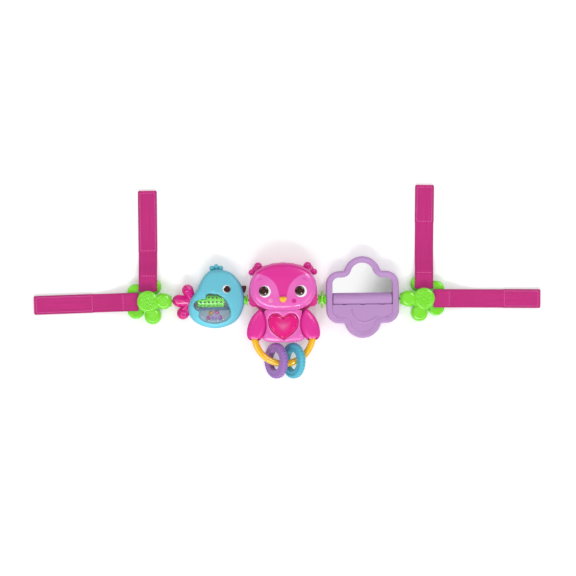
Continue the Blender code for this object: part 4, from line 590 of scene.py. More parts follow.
def block(middle, half):
    """A box from its middle and its half sizes."""
    shape = bmesh.new()
    bmesh.ops.create_cube(shape, size=2.0)
    bmesh.ops.scale(shape, vec=half, verts=shape.verts)
    bmesh.ops.translate(shape, vec=middle, verts=shape.verts)
    return shape


def merged(*shapes):
    """Several shapes in one bmesh."""
    whole = bmesh.new()
    for shape in shapes:
        mesh = bpy.data.meshes.new("part")
        shape.to_mesh(mesh)
        shape.free()
        whole.from_mesh(mesh)
        bpy.data.meshes.remove(mesh)
    return whole


def fused(name, shape, material, body, voxel=0.45 * MM, relax=6, share=0.5):
    """Overlapping shapes grown into one skin, with soft creases."""
    mesh = bpy.data.meshes.new(name)
    shape.to_mesh(mesh)
    shape.free()
    obj = bpy.data.objects.new(name, mesh)
    bpy.context.scene.collection.objects.link(obj)
    remesh = obj.modifiers.new("grow", "REMESH")
    remesh.mode = "VOXEL"
    remesh.voxel_size = voxel
    smooth = obj.modifiers.new("relax", "SMOOTH")
    smooth.factor = 0.5
    smooth.iterations = relax
    thin = obj.modifiers.new("thin", "DECIMATE")
    thin.ratio = share
    result = bpy.data.meshes.new_from_object(obj.evaluated_get(bpy.context.evaluated_depsgraph_get()))
    obj.modifiers.clear()
    obj.data = result
    bpy.data.meshes.remove(mesh)
    result.name = name
    result.materials.append(material)
    result.shade_smooth()
    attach(obj, body)
    return obj


def box_of(name):
    """The lowest and highest corner, the middle and the size of a CAD node."""
    low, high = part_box(name)
    return low, high, (low + high) / 2, high - low

# %% [markdown]
# ## The owl
# The owl is the big toy in the middle. Its head is a wide soft pillow, in light pink with a magenta peak that
# comes down to the beak. Both are cut from one pillow, so that the peak follows the face with only a hairline
# between them. The belly has a rounded well for the heart button, and a wing lies on each side.

# %% Sizes of the owl
OWL_WIDTH = 95.4 * MM
OWL_HEIGHT = 106.1 * MM
HEAD_HALF = [
    (0.000, -0.134), (0.138, -0.129), (0.263, -0.104), (0.360, -0.055), (0.429, 0.029), (0.461, 0.122),
    (0.456, 0.215), (0.418, 0.302), (0.353, 0.367), (0.263, 0.413), (0.138, 0.447), (0.000, 0.459),
]
PEAK_HALF = [
    (0.000, 0.022), (0.046, 0.049), (0.068, 0.119), (0.095, 0.183), (0.152, 0.246), (0.223, 0.294),
    (0.321, 0.320), (0.426, 0.312), (0.560, 0.300), (0.560, 0.560), (0.000, 0.560),
]
BELLY_HALF = [
    (0.000, -0.137), (0.120, -0.134), (0.215, -0.123), (0.260, -0.152), (0.237, -0.246), (0.234, -0.332),
    (0.256, -0.410), (0.290, -0.466), (0.250, -0.505), (0.130, -0.522), (0.000, -0.526),
]
WING_OUTLINE = [
    (0.321, -0.113), (0.408, -0.179), (0.470, -0.270), (0.501, -0.363), (0.503, -0.443), (0.467, -0.493),
    (0.401, -0.510), (0.339, -0.505), (0.300, -0.470), (0.262, -0.410), (0.238, -0.332), (0.241, -0.246),
    (0.270, -0.164),
]
HEAD_TOP = box_of("owl_face_shell")[1].z
HEAD_LOW = box_of("owl_face_shell")[0].z + 0.1 * MM
HEAD_SWELL = (26.0 * MM, 9.0 * MM)
HEAD_RIM = (6.0 * MM, 5.0 * MM)
CHIN_HALF = 21.0 * MM
CHIN_FADE = 7.0 * MM
BELLY_TOP = box_of("owl_body_shell")[1].z
BELLY_SWELL = (12.0 * MM, 4.0 * MM)
WING_TOP = box_of("owl_left_wing")[1].z
WING_SWELL = (11.0 * MM, 5.0 * MM)
HEART_MIDDLE = -0.328 * OWL_HEIGHT
HEART_SIZE = (38.0 * MM, 32.6 * MM)
HEART_HALF = [
    (0.000, 0.356), (0.120, 0.452), (0.240, 0.500), (0.390, 0.465), (0.490, 0.320), (0.500, 0.210),
    (0.4625, -0.040), (0.330, -0.240), (0.1525, -0.403), (0.060, -0.475), (0.000, -0.500),
]
HAIRLINE = 0.12 * MM
RING_RADIUS = 38.3 * MM
RING_MIDDLE_Y = -45.8 * MM
RING_TUBE = 4.4 * MM
RING_LEAN = 5.0
RING_END_ANGLE = 4.0
RING_END = Vector(
    (
        RING_RADIUS * math.cos(math.radians(RING_END_ANGLE)),
        RING_MIDDLE_Y - RING_RADIUS * math.sin(math.radians(RING_END_ANGLE)),
        25.0 * MM,
    )
)
SOCKET = RING_TUBE + 0.5 * MM


# %% Head
HEAD_OUTLINE = smooth_curve(mirrored(scaled(HEAD_HALF, OWL_WIDTH, OWL_HEIGHT)))
HEAD_MIDDLE = (0.0, 0.17 * OWL_HEIGHT)


def head_height(x, y):
    """The head's skin: a wide soft swell with a tighter rim, which ends level with the belly at the chin."""
    edge = distance_to(HEAD_OUTLINE, (x, y))
    level = HEAD_TOP - 0.6 * round_off(edge, *HEAD_SWELL) - round_off(edge, *HEAD_RIM)
    side = min(max((abs(x) - CHIN_HALF) / CHIN_FADE, 0.0), 1.0)
    chin = (1 - 3 * side**2 + 2 * side**3) if y < 0 else 0.0
    return level + chin * max(BELLY_TOP + HAIRLINE - level, 0.0)


def make_head():
    """The face and the peak, cut from the same pillow along the peak's outline."""
    peak = smooth_curve(mirrored(scaled(PEAK_HALF, OWL_WIDTH, OWL_HEIGHT)), 4)
    wide = [place * (1 + HAIRLINE / abs(place.length)) for place in peak]
    face = finish_piece(
        "owl_face", swell(HEAD_OUTLINE, HEAD_MIDDLE, HEAD_LOW, head_height, count=128), FACE_PLASTIC, "owl"
    )
    cut_by(face, prism(wide, HEAD_LOW - MM, HEAD_TOP + MM), "DIFFERENCE")
    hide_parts("owl_face_shell")
    crown = finish_piece(
        "owl_peak", swell(HEAD_OUTLINE, HEAD_MIDDLE, HEAD_LOW, head_height, count=128), PEAK_PLASTIC, "owl"
    )
    cut_by(crown, prism(peak, HEAD_LOW - MM, HEAD_TOP + MM), "INTERSECT")
    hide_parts("owl_forehead_shell")
    print("owl head:", len(face.data.polygons) + len(crown.data.polygons), "faces")


make_head()


# %% Ears
EAR_BALLS = [(32.7, 44.5, 5.6), (41.3, 36.7, 4.2), (37.0, 41.0, 3.8), (34.0, 38.5, 4.5)]
EAR_LEVEL = 12.0 * MM


def make_ears():
    """A tuft of fused balls on each side of the head."""
    for side, word in ((-1, "left"), (1, "right")):
        balls = [ball(r * MM, Vector((side * x * MM, y * MM, EAR_LEVEL)), 24, 16) for x, y, r in EAR_BALLS]
        fused(f"owl_ear_{word}", merged(*balls), PEAK_PLASTIC, "owl", 0.4 * MM, 3)


make_ears()


# %% Heart outline
def heart_outline(width, height):
    """The heart's edge, scaled to a width and a height."""
    return smooth_curve(mirrored(scaled(HEART_HALF, width, height, (0.0, HEART_MIDDLE))))


HEART_EDGE = heart_outline(*HEART_SIZE)
HEART_WELL = heart_outline(HEART_SIZE[0] + 1.0 * MM, HEART_SIZE[1] + 1.0 * MM)
HEART_CENTRE = (0.0, HEART_MIDDLE - 0.4 * MM)
WELL_LIP = (3.4 * MM, 2.6 * MM)
BELLY_OUTLINE = smooth_curve(mirrored(scaled(BELLY_HALF, OWL_WIDTH, OWL_HEIGHT)))
BELLY_UNDER_HEAD = 0.16
BELLY_FALL = [(x, y + BELLY_UNDER_HEAD if y > -0.2 else y) for x, y in BELLY_HALF]
BELLY_FALL = smooth_curve(mirrored(scaled(BELLY_FALL, OWL_WIDTH, OWL_HEIGHT)))


# %% Belly
def belly_height(x, y):
    """The belly's skin. It goes on level under the head, and is rounded at its sides and into the heart's well."""
    edge = distance_to(BELLY_FALL, (x, y))
    well = distance_to(HEART_WELL, (x, y))
    return BELLY_TOP - round_off(edge, *BELLY_SWELL) - round_off(well, *WELL_LIP)


def make_belly():
    """The belly with a rounded well for the heart."""
    low = box_of("owl_body_shell")[0].z + HAIRLINE
    shape = swell(BELLY_OUTLINE, HEART_CENTRE, low, belly_height, hole=HEART_WELL, count=144, rings=22, ease=1.0)
    belly = finish_piece("owl_belly", shape, FACE_PLASTIC, "owl")
    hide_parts("owl_body_shell")
    return belly


make_belly()

# %% [markdown]
# The heart is a button of tinted plastic with a lamp below it. A low flange at its edge makes the dark line
# round it, and its middle is crowned. Its paler middle is painted light: a painted glow in a soft round
# gradient on the plastic's colour, while the lamp is off and the button is as good as opaque.

# %% Heart
HEART_TOP = box_of("heart_button")[1].z
HEART_LOW = HEART_TOP - 8.0 * MM
HEART_STEP = (1.2 * MM, 1.6 * MM, 3.4 * MM)
HEART_CROWN = (10.0 * MM, 1.3 * MM)
PAINTED_GLOW_REACH = 13.0 * MM


def heart_height(x, y):
    """A low flange at the edge, a soft step up, and a crowned middle."""
    edge = distance_to(HEART_EDGE, (x, y))
    start, width, rise = HEART_STEP
    step = min(max((edge - start) / width, 0.0), 1.0)
    step = 3 * step**2 - 2 * step**3
    reach, crown = HEART_CROWN
    share = min(max(edge - start, 0.0) / reach, 1.0)
    return HEART_TOP - rise * (1 - step) - crown * (1 - math.sin(share * math.pi / 2))


def heart_plastic():
    """Tinted plastic with a painted glow: a paler middle, painted in a soft round gradient."""
    material = moulded("heart_plastic", HEART_RED, 0.16, 0.6, 0.05)
    tree = material.node_tree
    skin = next(node for node in tree.nodes if node.type == "GROUP")
    place = tree.nodes.new("ShaderNodeTexCoord")
    centred = tree.nodes.new("ShaderNodeMapping")
    centred.inputs["Location"].default_value = (0.0, -(HEART_MIDDLE + MM) / PAINTED_GLOW_REACH, -HEART_TOP / PAINTED_GLOW_REACH)
    centred.inputs["Scale"].default_value = (1 / PAINTED_GLOW_REACH,) * 3
    # painted glow: a paler round patch painted into the heart's colour, standing in for light
    painted_glow = add_node(tree, "ShaderNodeTexGradient", gradient_type="QUADRATIC_SPHERE")
    mix = add_node(tree, "ShaderNodeMix", data_type="RGBA")
    mix.inputs[6].default_value = HEART_RED
    mix.inputs[7].default_value = HEART_PAINTED_GLOW
    tree.links.new(place.outputs["Object"], centred.inputs["Vector"])
    tree.links.new(centred.outputs[0], painted_glow.inputs["Vector"])
    tree.links.new(painted_glow.outputs["Fac"], mix.inputs[0])
    tree.links.new(mix.outputs[2], skin.inputs["Colour"])
    return material


def make_heart():
    """The press button."""
    shape = swell(HEART_EDGE, HEART_CENTRE, HEART_LOW, heart_height, count=144, rings=24, ease=1.3)
    heart = finish_piece("heart_dish", shape, heart_plastic(), "heart")
    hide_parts("heart_button")
    return heart


make_heart()

# %% [markdown]
# ## Wings, eyes and beak
# The wings are plump leaves beside the belly. The eyes are white domes with a brown pupil and a small painted
# highlight, and the beak is a little cushion. Brows, lashes and cheeks are printed on the real toy, so they are
# thin skins that lie on the head's own curve.

# %% Wings
WING_MIDDLE = (0.375 * OWL_WIDTH, -0.345 * OWL_HEIGHT)


def make_wing(side, word):
    """One wing. The other is its mirror image."""
    outline = smooth_curve(scaled(WING_OUTLINE, OWL_WIDTH, OWL_HEIGHT))
    low = box_of(f"owl_{word}_wing")[0].z + HAIRLINE

    def height(x, y):
        return WING_TOP - round_off(distance_to(outline, (x, y)), *WING_SWELL)

    shape = swell(outline, WING_MIDDLE, low, height, rings=20)
    if side < 0:
        bmesh.ops.scale(shape, vec=(-1.0, 1.0, 1.0), verts=shape.verts)
        bmesh.ops.reverse_faces(shape, faces=shape.faces)
    wing = finish_piece(f"owl_wing_{word}", shape, PEAK_PLASTIC, "owl")
    hinge = Vector((side * RING_END.x, RING_END.y, RING_END.z))
    cut_by(wing, cylinder(SOCKET, 2 * SOCKET, hinge, (1, 0, 0)), "DIFFERENCE")
    mouth = Vector((SOCKET + 1.2 * MM, 10.0 * MM, SOCKET * 1.2))
    cut_by(wing, block(hinge - Vector((0, mouth.y, 0)), mouth), "DIFFERENCE")
    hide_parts(f"owl_{word}_wing")
    return wing


for wing_side, wing_word in ((-1, "left"), (1, "right")):
    make_wing(wing_side, wing_word)

# %% Eyes
EYE_PLACES = {"left": (-23.56 * MM, 11.35 * MM), "right": (23.56 * MM, 11.35 * MM)}
EYE_RADIUS = 7.85 * MM
EYE_TOP = box_of("owl_left_eye")[1].z
PUPIL_RADIUS = 6.35 * MM
PUPIL_SHIFT = (-1.55 * MM, 0.45 * MM)


def dome(radius, foot, rim, crown, place, steps=48):
    """A round cushion from its foot over a small rim to its crown, given as heights."""
    profile = [(0.0, foot), (radius, foot), (radius, rim)]
    for turn in range(1, 11):
        angle = math.radians(turn * 9.0)
        profile.append((radius * math.cos(angle) ** 0.7, rim + (crown - rim) * math.sin(angle)))
    profile[-1] = (0.0, crown)
    return lathe(profile, Vector((place[0], place[1], 0.0)), (0, 0, 1), steps)


def make_eye(word, place):
    """A white dome, its brown pupil and a small painted highlight on it."""
    white = dome(EYE_RADIUS, EYE_TOP - 3.3 * MM, EYE_TOP - 1.5 * MM, EYE_TOP - 0.5 * MM, place)
    eye = finish_piece(f"owl_eye_white_{word}", white, WHITE_ENAMEL, "owl")
    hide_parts(f"owl_{word}_eye")
    centre = (place[0] + PUPIL_SHIFT[0], place[1] + PUPIL_SHIFT[1])
    shape = dome(PUPIL_RADIUS, EYE_TOP - 1.4 * MM, EYE_TOP - 0.8 * MM, EYE_TOP + 0.9 * MM, centre)
    pupil = finish_piece(f"owl_pupil_{word}", shape, BROWN_ENAMEL, "owl")
    # painted highlight: a white dot for the lamp's reflection on the glossy pupil
    light = dome(0.85 * MM, EYE_TOP + 0.1 * MM, EYE_TOP + 0.5 * MM, EYE_TOP + 0.8 * MM, (centre[0] + 2.1 * MM, centre[1] - 3.0 * MM), 20)
    finish_piece(f"owl_eye_painted_highlight_{word}", light, WHITE_ENAMEL, "owl")


for eye_word, eye_place in EYE_PLACES.items():
    make_eye(eye_word, eye_place)

# %% Beak
BEAK_HALF = [(0.000, 4.4), (2.900, 4.3), (5.000, 2.4), (4.500, 0.400), (2.400, -2.600), (0.000, -3.2)]
BEAK_LIFT = 5.2 * MM


def make_owl_beak():
    """A small yellow cushion, wider above than below."""
    outline = smooth_curve([(x * MM, y * MM) for x, y in mirrored(BEAK_HALF)], 6)
    top = box_of("owl_beak")[1].z

    def height(x, y):
        return top - round_off(distance_to(outline, (x, y)), 3.6 * MM, 2.6 * MM)

    shape = swell(outline, (0.0, 0.9 * MM), top - BEAK_LIFT, height, count=48, rings=14)
    beak = finish_piece("owl_beak_cushion", shape, BEAK_BRIGHT, "owl")
    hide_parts("owl_beak")


make_owl_beak()

# %% Brows and cheeks, printed on the head
BROW_COLOUR = screen(222, 60, 170)
# the left cheek is print, and its pale colour is partly painted glare, a highlight over the print
CHEEK_LEFT_PRINT_AND_PAINTED_GLARE = screen(244, 140, 192)
CHEEK_RIGHT = screen(222, 30, 150)
PRINT_LIFT = 0.06 * MM
BROW_PLACES = [
    [(-34.2, 24.4), (-32.0, 26.6), (-29.6, 27.6), (-27.2, 27.2)],
    [(25.0, 27.3), (27.4, 27.8), (30.0, 26.8), (32.2, 24.7)],
]
CHEEK_PLACES = {"left": (-16.5, -0.8), "right": (14.3, -1.4)}
CHEEK_RADIUS = 3.0 * MM


def printed(name, outline, centre, surface, material, body, count=40, rings=5):
    """A thin skin that lies on a surface, as a print does."""
    def height(x, y):
        return surface(x, y) + PRINT_LIFT

    low = min(surface(*place) for place in outline) - 4 * PRINT_LIFT
    return finish_piece(name, swell(outline, centre, low, height, count=count, rings=rings, ease=1.0), material, body)


def stroke_outline(points, half):
    """A closed outline round an open stroke, with its ends drawn in."""
    upper, lower = [], []
    for index, point in enumerate(points):
        before = Vector(points[max(index - 1, 0)])
        after = Vector(points[min(index + 1, len(points) - 1)])
        side = (after - before).normalized().orthogonal() * half
        narrow = 0.35 if index in (0, len(points) - 1) else 1.0
        upper.append(Vector(point) + side * narrow)
        lower.append(Vector(point) - side * narrow)
    return smooth_curve(lower + upper[::-1], 5)


def make_prints():
    """The brows above the eyes and a round cheek beside each eye."""
    brow = moulded("brow_print", BROW_COLOUR, 0.3, 0.0, 0.04)
    for index, points in enumerate(BROW_PLACES):
        middle = Vector(points[0]).lerp(Vector(points[-1]), 0.5) * MM + Vector((0.0, 1.0 * MM))
        outline = stroke_outline([(x * MM, y * MM) for x, y in points], 0.65 * MM)
        printed(f"owl_brow_{index + 1}", outline, middle, head_height, brow, "owl", 72)
    for word, colour in (("left", CHEEK_LEFT_PRINT_AND_PAINTED_GLARE), ("right", CHEEK_RIGHT)):
        cheek = moulded(f"cheek_print_{word}", colour, 0.3, 0.0, 0.04)
        centre = Vector(CHEEK_PLACES[word]) * MM
        circle = [centre + Vector((math.cos(turn), math.sin(turn))) * CHEEK_RADIUS for turn in np.linspace(0, 6.1, 28)]
        printed(f"owl_cheek_{word}", circle, centre, head_height, cheek, "owl")


make_prints()

# %% [markdown]
# ## The hanging ring and its links
# A yellow tube bent to a half circle turns in sockets in the wings, and two fat teething rings hang on it.
# A tube is a circle swept along its path. The links are made the same way, with a cross section that changes
# a little round the ring: shallow scallops outside and a fine line on each face, as on a rubber teether.

# %% Yellow ring
def sweep(places, radius, sides=24, across=Vector((0, 0, 1))):
    """A round tube along a path that lies roughly flat, with flat ends."""
    rings = []
    last = len(places) - 1
    for index, place in enumerate(places):
        along = (places[min(index + 1, last)] - places[max(index - 1, 0)]).normalized()
        side = along.cross(across).normalized()
        up = side.cross(along)
        turns = [2 * math.pi * step / sides for step in range(sides)]
        wide = radius(index / last) if callable(radius) else radius
        rings.append([place + (side * math.cos(turn) + up * math.sin(turn)) * wide for turn in turns])
    return loft(rings)


def make_ring():
    """The half ring, leaning forward from its sockets."""
    lean = Matrix.Rotation(math.radians(RING_LEAN), 4, "X")
    path = []
    for step in range(97):
        angle = math.radians(-180.0 + RING_END_ANGLE + (180.0 - 2 * RING_END_ANGLE) * step / 96)
        flat = Vector((RING_RADIUS * math.cos(angle), RING_MIDDLE_Y + RING_RADIUS * math.sin(angle) - RING_END.y, 0.0))
        path.append(lean @ flat + Vector((0.0, RING_END.y, RING_END.z)))
    ends = [ball(RING_TUBE, place, 24, 16) for place in (path[0], path[-1])]
    ring = finish_piece("ring_tube", merged(sweep(path, RING_TUBE, 28), *ends), YELLOW_PLASTIC, "ring")
    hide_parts("yellow_ring")


make_ring()

# %% Links
LINK_OUTER = 23.5 * MM
LINK_INNER = 11.5 * MM
LINK_HALF = 4.5 * MM
LINK_CORNER = 3.0 * MM
LINK_TILT = math.radians(55.0)
LINK_SCALLOPS = 30
SCALLOP_DEPTH = 0.75 * MM
LINK_LINE = 19.2 * MM
LINKS = {"purple_link": (-10.0, -80.0, PURPLE_RUBBER, "deep_purple"), "blue_link": (12.8, -80.2, BLUE_RUBBER, "link_blue")}


def link_section(turn):
    """The link's cross section at one place, as (radius, height) points round a rounded bar."""
    scallop = SCALLOP_DEPTH * abs(math.sin(turn * LINK_SCALLOPS / 2))
    outer = LINK_OUTER - SCALLOP_DEPTH + scallop
    half = LINK_HALF - 0.15 * MM
    points = []
    for middle, start in (
        ((outer - LINK_CORNER, half - LINK_CORNER), 0.0),
        ((LINK_INNER + LINK_CORNER, half - LINK_CORNER), 90.0),
        ((LINK_INNER + LINK_CORNER, LINK_CORNER - half), 180.0),
        ((outer - LINK_CORNER, LINK_CORNER - half), 270.0),
    ):
        for step in range(9):
            angle = math.radians(start + step * 11.25)
            points.append((middle[0] + LINK_CORNER * math.cos(angle), middle[1] + LINK_CORNER * math.sin(angle)))
        if start in (0.0, 180.0):
            side = 1 if start == 0.0 else -1
            order = (0.7, 0.25, 0.0, -0.25, -0.7) if start == 0.0 else (-0.7, -0.25, 0.0, 0.25, 0.7)
            for offset in order:
                dip = 0.35 * MM * (1 - min(abs(offset) / 0.7, 1.0))
                points.append((LINK_LINE + offset * MM - 1.5 * MM, side * (half - dip)))
    return points


def make_link(name, x, y, material, slot):
    """One rubber link, tilted on the tube."""
    count = 240
    tilt = Matrix.Rotation(-LINK_TILT, 4, "Y")
    profile = [(LINK_OUTER - LINK_CORNER, LINK_HALF), (LINK_OUTER, LINK_HALF - LINK_CORNER)]
    rim = max(radius * math.sin(LINK_TILT) + height * math.cos(LINK_TILT) for radius, height in profile)
    place = Matrix.Translation((x * MM, y * MM, rim)) @ tilt
    rings = []
    for index in range(count):
        turn = 2 * math.pi * index / count
        ring = [Vector((r * math.cos(turn), r * math.sin(turn), height)) for r, height in link_section(turn)]
        rings.append([place @ point for point in ring])
    link = finish_piece(f"{name}_rubber", loft(rings, closed=True), material, name)
    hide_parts(name)


for link_name, link_values in LINKS.items():
    make_link(link_name, *link_values)
print("hanging parts done")

# %% [markdown]
# ## The bird
# The bird is a hollow rattle. Its front is a moulded shell with a clear bulging window, so it is made as a
# skin with an underside, not as a solid block. Behind the window lie a perforated drum on the cord and five
# loose beads, over a grey blue floor. The window's rim is bevelled, which gives the dark line above it and
# the pale one below.

# %% Sizes of the bird
BIRD_PLACE = Vector((-88.17, 1.0)) * MM
BIRD_SIZE = (73.3 * MM, 77.0 * MM)
BIRD_SHARES = [
    (0.131, 0.512), (-0.003, 0.515), (-0.116, 0.495), (-0.221, 0.402), (-0.296, 0.275), (-0.352, 0.159),
    (-0.448, 0.025), (-0.500, -0.102), (-0.489, -0.227), (-0.410, -0.354), (-0.277, -0.435), (-0.107, -0.481),
    (0.026, -0.485), (0.177, -0.454), (0.311, -0.390), (0.406, -0.299), (0.471, -0.174), (0.500, -0.047),
    (0.491, 0.097), (0.453, 0.241), (0.386, 0.349), (0.277, 0.457),
]
WINDOW_SHARES = [
    (-0.401, -0.083), (-0.372, -0.030), (-0.277, 0.016), (-0.192, 0.016), (-0.172, 0.088), (-0.087, 0.110),
    (0.064, 0.080), (0.177, -0.011), (0.244, -0.155), (0.253, -0.263), (0.177, -0.354), (0.026, -0.399),
    (-0.125, -0.390), (-0.259, -0.337), (-0.314, -0.263), (-0.296, -0.202), (-0.372, -0.155),
]
BIRD_EDGE = smooth_curve(scaled(BIRD_SHARES, *BIRD_SIZE, BIRD_PLACE), 5)
WINDOW_EDGE = smooth_curve(scaled(WINDOW_SHARES, *BIRD_SIZE, BIRD_PLACE), 5)
WINDOW_MIDDLE = BIRD_PLACE + Vector((-0.05 * BIRD_SIZE[0], -0.17 * BIRD_SIZE[1]))
BIRD_TOP = box_of("bird_front_shell")[1].z
BIRD_LOW = box_of("bird_front_shell")[0].z
BIRD_RIM = (7.0 * MM, 6.0 * MM)
WINDOW_BEVEL = (1.5 * MM, 1.3 * MM)
BIRD_WALL = 1.8 * MM
WINDOW_RIM = 22.6 * MM
WINDOW_CROWN = box_of("rattle_window")[1].z


# %% Bird front
def outward(outline, distance):
    """An outline moved outwards, or inwards if the distance is less than nothing."""
    count = len(outline)
    moved = []
    for index, place in enumerate(outline):
        along = (Vector(outline[(index + 1) % count]) - Vector(outline[index - 1])).normalized()
        moved.append(Vector(place) + Vector((along.y, -along.x)) * distance)
    return moved


def turned_left(outline):
    """An outline listed anticlockwise, so that outwards is on its right hand."""
    area = sum(a[0] * b[1] - b[0] * a[1] for a, b in zip(outline, outline[1:] + outline[:1]))
    return outline if area > 0 else outline[::-1]


def skin(outline, hole, centre, low, height, wall, count=160, rings=18):
    """A shell of an outline with a hole: its top skin, the hole's edge and an underside one wall lower."""
    outer = loop_by_angle(outline, centre, count)
    inner = loop_by_angle(hole, centre, count)
    levels = [ring_at(outer, low)]
    levels += [ring_at(towards(outer, inner, index / rings), height) for index in range(rings + 1)]

    def under(x, y):
        return max(height(x, y) - wall, low)

    for index in range(10, 0, -1):
        levels.append(ring_at(towards(outer, inner, index / 10), under))
    levels.append(ring_at(towards(outer, inner, 0.1), low))
    return loft(levels, closed=True)


def bird_height(x, y):
    """The bird's skin, rounded at its outline and bevelled at the window."""
    edge = distance_to(BIRD_EDGE, (x, y))
    window = distance_to(WINDOW_EDGE, (x, y))
    return BIRD_TOP - round_off(edge, *BIRD_RIM) - round_off(window, *WINDOW_BEVEL)


def make_bird_front():
    """The front shell round the window."""
    shape = skin(BIRD_EDGE, WINDOW_EDGE, WINDOW_MIDDLE, BIRD_LOW, bird_height, BIRD_WALL)
    front = finish_piece("bird_front", shape, BLUE_PLASTIC, "bird")
    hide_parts("bird_front_shell")


make_bird_front()


# %% Window
def clear_plastic_with_painted_haze():
    """Thin clear plastic with a faint milky haze, which is a painted reflection of the room's light."""
    # painted reflection: the pale milky base colour stands for the room mirrored in the window
    material = moulded("clear_window", (0.70, 0.88, 1.0, 1.0), 0.04, 0.0, 0.04, 0.00001, 0.03)
    shader = material.node_tree.nodes["Principled BSDF"]
    shader.inputs["Transmission Weight"].default_value = 0.84
    shader.inputs["IOR"].default_value = 1.45
    shader.inputs["Alpha"].default_value = 0.26
    return material


CLEAR_PLASTIC_PAINTED_HAZE = clear_plastic_with_painted_haze()


def make_window():
    """A thin clear dome that fills the front's hole."""
    outline = outward(turned_left(WINDOW_EDGE), -0.15 * MM)
    bulge = WINDOW_CROWN - WINDOW_RIM

    def height(x, y):
        return WINDOW_CROWN - round_off(distance_to(outline, (x, y)), 9.0 * MM, bulge)

    outer = loop_by_angle(outline, WINDOW_MIDDLE, 128)
    shares = [0.0, 0.01, 0.03, 0.06, 0.1, 0.15, 0.21, 0.28, 0.37, 0.47, 0.58, 0.7, 0.83]
    thin = 1.0 * MM
    over = [ring_at(towards(outer, WINDOW_MIDDLE, share), height) for share in shares]
    under = [[place - Vector((0, 0, thin)) for place in ring] for ring in reversed(over)]
    window = finish_piece("window_dome", loft(under + over), CLEAR_PLASTIC_PAINTED_HAZE, "bird")
    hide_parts("rattle_window")


make_window()

# %% Behind the window
FLOOR_LEVEL = 2.3 * MM
SHELF_PLACE = Vector((-91.5, -10.8, 8.0)) * MM
SHELF_HALF = Vector((20.0, 1.9, 6.0)) * MM


def make_cavity():
    """The grey blue floor behind the beads, and the shelf between the drum and the beads, whose dark slate is painted
    shade.
    """
    outline = outward(turned_left(BIRD_EDGE), -3.2 * MM)
    floor_slab = prism(loop_by_angle(outline, BIRD_PLACE, 96), FLOOR_LEVEL - 0.4 * MM, FLOOR_LEVEL)
    slab = finish_piece("bird_cavity_floor", floor_slab, CAVITY_PLASTIC, "bird")
    # the shelf is a dark sheet of painted shade under the drum
    shelf = finish_piece("bird_cavity_shelf", block(SHELF_PLACE, SHELF_HALF), SHELF_PAINTED_SHADE_PLASTIC, "bird")


make_cavity()

# %% Drum and beads
DRUM_RADIUS = 8.8 * MM
DRUM_WALL = 1.2 * MM
DRUM_MIDDLE = Vector((BIRD_PLACE.x - 7.0 * MM, 0.0, CORD_HEIGHT))
DRUM_HALF = 17.5 * MM
DRUM_BORE = 2.6 * MM
HOLE_RADIUS = 1.35 * MM
HOLES_LONG = 6
HOLES_ROUND = 9
HOLE_PITCH = 5.3 * MM


def make_drum():
    """A tube with closed ends and rows of round holes."""
    end, wall, edge = DRUM_HALF, DRUM_WALL, 0.8 * MM
    profile = [
        (DRUM_BORE, end), (DRUM_RADIUS - edge, end), (DRUM_RADIUS, end - edge), (DRUM_RADIUS, edge - end),
        (DRUM_RADIUS - edge, -end), (DRUM_BORE, -end), (DRUM_BORE, wall - end), (DRUM_RADIUS - wall, wall - end),
        (DRUM_RADIUS - wall, end - wall), (DRUM_BORE, end - wall), (DRUM_BORE, end),
    ]
    drum = finish_piece("drum_tube", lathe(profile, DRUM_MIDDLE, (1, 0, 0), 72), GREEN_PLASTIC, "drum")
    holes = []
    for row in range(HOLES_ROUND):
        turn = math.radians(360.0 * row / HOLES_ROUND + 63.0)
        out = Vector((0.0, math.cos(turn), math.sin(turn)))
        for index in range(HOLES_LONG):
            along = (index - (HOLES_LONG - 1) / 2) * HOLE_PITCH
            middle = DRUM_MIDDLE + Vector((along, 0, 0)) + out * (DRUM_RADIUS - wall / 2)
            holes.append(cylinder(HOLE_RADIUS, 3 * wall, middle, out, 18))
    cut_by(drum, merged(*holes), "DIFFERENCE")
    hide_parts("rattle_drum")
    # a dark core of painted shade inside the drum, where its hollow would be in shadow
    core = cylinder(DRUM_RADIUS - 2 * DRUM_WALL, 2 * (DRUM_HALF - 2 * DRUM_WALL), DRUM_MIDDLE, (1, 0, 0), 48)
    finish_piece("drum_core", core, DRUM_CORE_PAINTED_SHADE, "drum")
    print("drum:", len(drum.data.polygons), "faces")


def make_beads():
    """Five loose beads with a bright moulded skin."""
    for index, (node, colour) in enumerate(BEAD_COLOURS.items()):
        middle = box_of(node)[2]
        radius = box_of(node)[3].x / 2
        material = moulded(f"bead_plastic_{index + 1}", colour, 0.18, 0.5, 0.08)
        bead = finish_piece(f"bead_{index + 1}_ball", ball(radius, middle, 40, 24), material, f"bead_{index + 1}")
        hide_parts(node)


make_drum()
make_beads()

# %% [markdown]
# The bird's eye is a white dome with a dark pupil that has a small white light in its upper left. The beak is a
# dark cushion, the crest three round bumps that grow together, and the tail three plump lobes with moulded
# ribs. Bumps and lobes are fused with a fine voxel remesh and then relaxed, which fills the creases between
# them as the mould does.


# %% Cushions
def plump(outline, centre, middle, half, extra=None, count=80, rings=14):
    """A cushion that is round above and below, half as thick as given where it is wide enough."""
    outer = loop_by_angle(outline, centre, count)

    def bulge(x, y):
        share = 1 - min(distance_to(outline, (x, y)) / half, 1.0)
        return half * math.sqrt(max(0.0, 1 - share * share))

    def above(x, y):
        return middle + bulge(x, y) + (extra(x, y) if extra else 0.0)

    levels = [ring_at(towards(outer, Vector(centre), (index / rings) ** 1.6), above) for index in range(1, rings)]
    lower = [[Vector((p.x, p.y, middle - bulge(p.x, p.y))) for p in level] for level in reversed(levels)]
    return loft(lower + [ring_at(outer, middle)] + levels)


